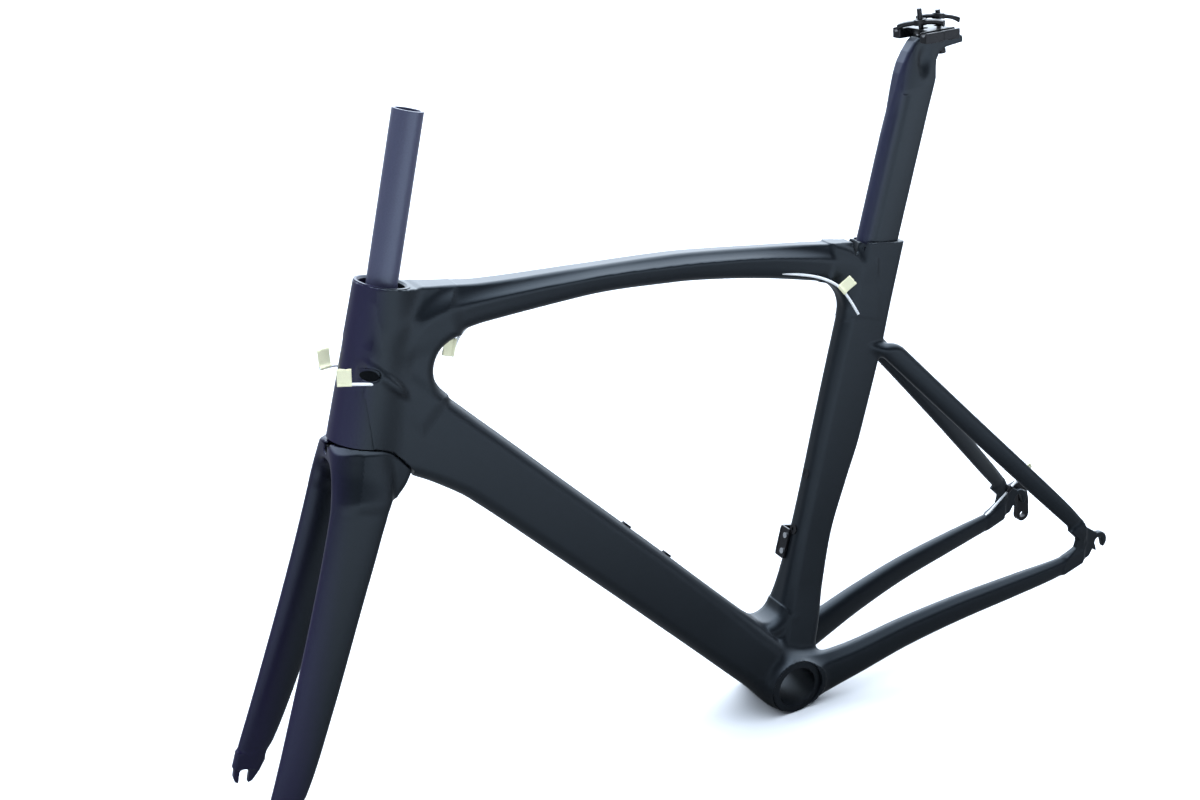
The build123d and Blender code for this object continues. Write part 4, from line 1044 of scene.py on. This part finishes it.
def flag_profile(wide):
    """The fold seen from its end: out along one layer, round the liner, back along the other."""
    reach = [wide * (1 - i / 8) for i in range(7)]
    turns = np.linspace(FOLD_GAP, 2 * math.pi - FOLD_GAP, 14)
    fold = [(FOLD_R * math.cos(t), FOLD_R * math.sin(t)) for t in turns]
    return [(a, LAYER_OFFSET) for a in reach] + fold + [(a, -LAYER_OFFSET) for a in reversed(reach)]


def tape_flag(name, start, along, turned, wide, length, lift):
    """A strip of paper tape folded round a liner, its layers pressed together and a little curled."""
    along, turned = Vector(along).normalized(), Vector(turned)
    turned = (turned - along * turned.dot(along)).normalized()
    across = along.cross(turned)
    profile = flag_profile(wide)
    rows = 8
    mesh = bmesh.new()
    grid = []
    for i in range(rows + 1):
        v = i / rows
        row = []
        for a, b in profile:
            far = max(a, 0) / wide
            curl = lift * far * far + 0.35 * math.sin(5 * v + 3 * far) * far
            ragged = 0.5 * math.sin(9 * v + (4 if b > 0 else 0)) * far
            place = Vector(start) + along * (v * length + 0.6 * far * math.sin(3 * v))
            place += turned * (a + ragged) + across * (b + curl)
            row.append(mesh.verts.new(place * MM))
        grid.append(row)
    for low, high in zip(grid, grid[1:]):
        for i in range(len(profile) - 1):
            mesh.faces.new((low[i], low[i + 1], high[i + 1], high[i]))
    data = bpy.data.meshes.new(name)
    mesh.to_mesh(data)
    mesh.free()
    for face in data.polygons:
        face.use_smooth = True
    flag = bpy.data.objects.new(name, data)
    bpy.context.scene.collection.objects.link(flag)
    thick = flag.modifiers.new("thickness", "SOLIDIFY")
    thick.thickness = TAPE_THICK
    thick.offset = 0
    return flag


def part_way(a, b, share):
    return tuple(p + (q - p) * share for p, q in zip(a, b))


def from_to(a, b):
    return Vector(b) - Vector(a)


# cord, route, length in metres, the node the cord stands for, flag, the node the flag stands for
loose_cords = []
for side, word in ((1, "left"), (-1, "right")):
    route = [(x, y * side, z) for x, y, z in HEAD_TAIL]
    run = from_to(route[-1], route[-2])
    flag = tape_flag(f"head_flag_{word}", route[-1], run, (-0.2, side * 0.3, 0.93), 17, 13, 1.5)
    names = f"head_cord_{word}", f"head_liner_end_{word}", f"head_tape_{word}"
    loose_cords.append((names[0], route, 0.0359, names[1], flag, names[2]))

run = from_to(TOP_FRONT_TAIL[-1], TOP_FRONT_TAIL[-2])
flag = tape_flag("top_front_flag", TOP_FRONT_TAIL[-1], run, (0.95, 0.1, -0.25), 11, 17, 1)
loose_cords.append(
    ("top_front_cord", TOP_FRONT_TAIL, 0.0354, "top_front_liner_end", flag, "top_front_tape"),
)

flag_start = part_way(TOP_REAR_TAIL[3], TOP_REAR_TAIL[4], 0.1)
run = from_to(TOP_REAR_TAIL[3], TOP_REAR_TAIL[4])
flag = tape_flag("top_rear_flag", flag_start, run, (-0.6, 0.1, 0.8), 15, 12, 1.5)
loose_cords.append(("top_rear_cord", TOP_REAR_TAIL, 0.1024, "top_rear_liner_end", flag, "top_rear_tape"))

run = from_to(STAY_TAIL[-1], STAY_TAIL[-2])
flag = tape_flag("chainstay_flag", STAY_TAIL[-1], run, (0.3, 0.5, 0.8), 9, 6, 1)
loose_cords.append(("chainstay_cord", STAY_TAIL, 0.0453, "chainstay_liner_end", flag, "chainstay_tape"))

for name, route, length, node, flag, tape_node in loose_cords:
    cord = route_curve(name, route)
    cord.data.materials.append(MATERIALS["liner"])
    flag.data.materials.append(MATERIALS["tape"])
    for piece, slot_name, replaced in ((cord, "liner", node), (flag, "tape", tape_node)):
        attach(piece, "frame")
        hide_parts(replaced)
    [c * MM for c in route[0]]
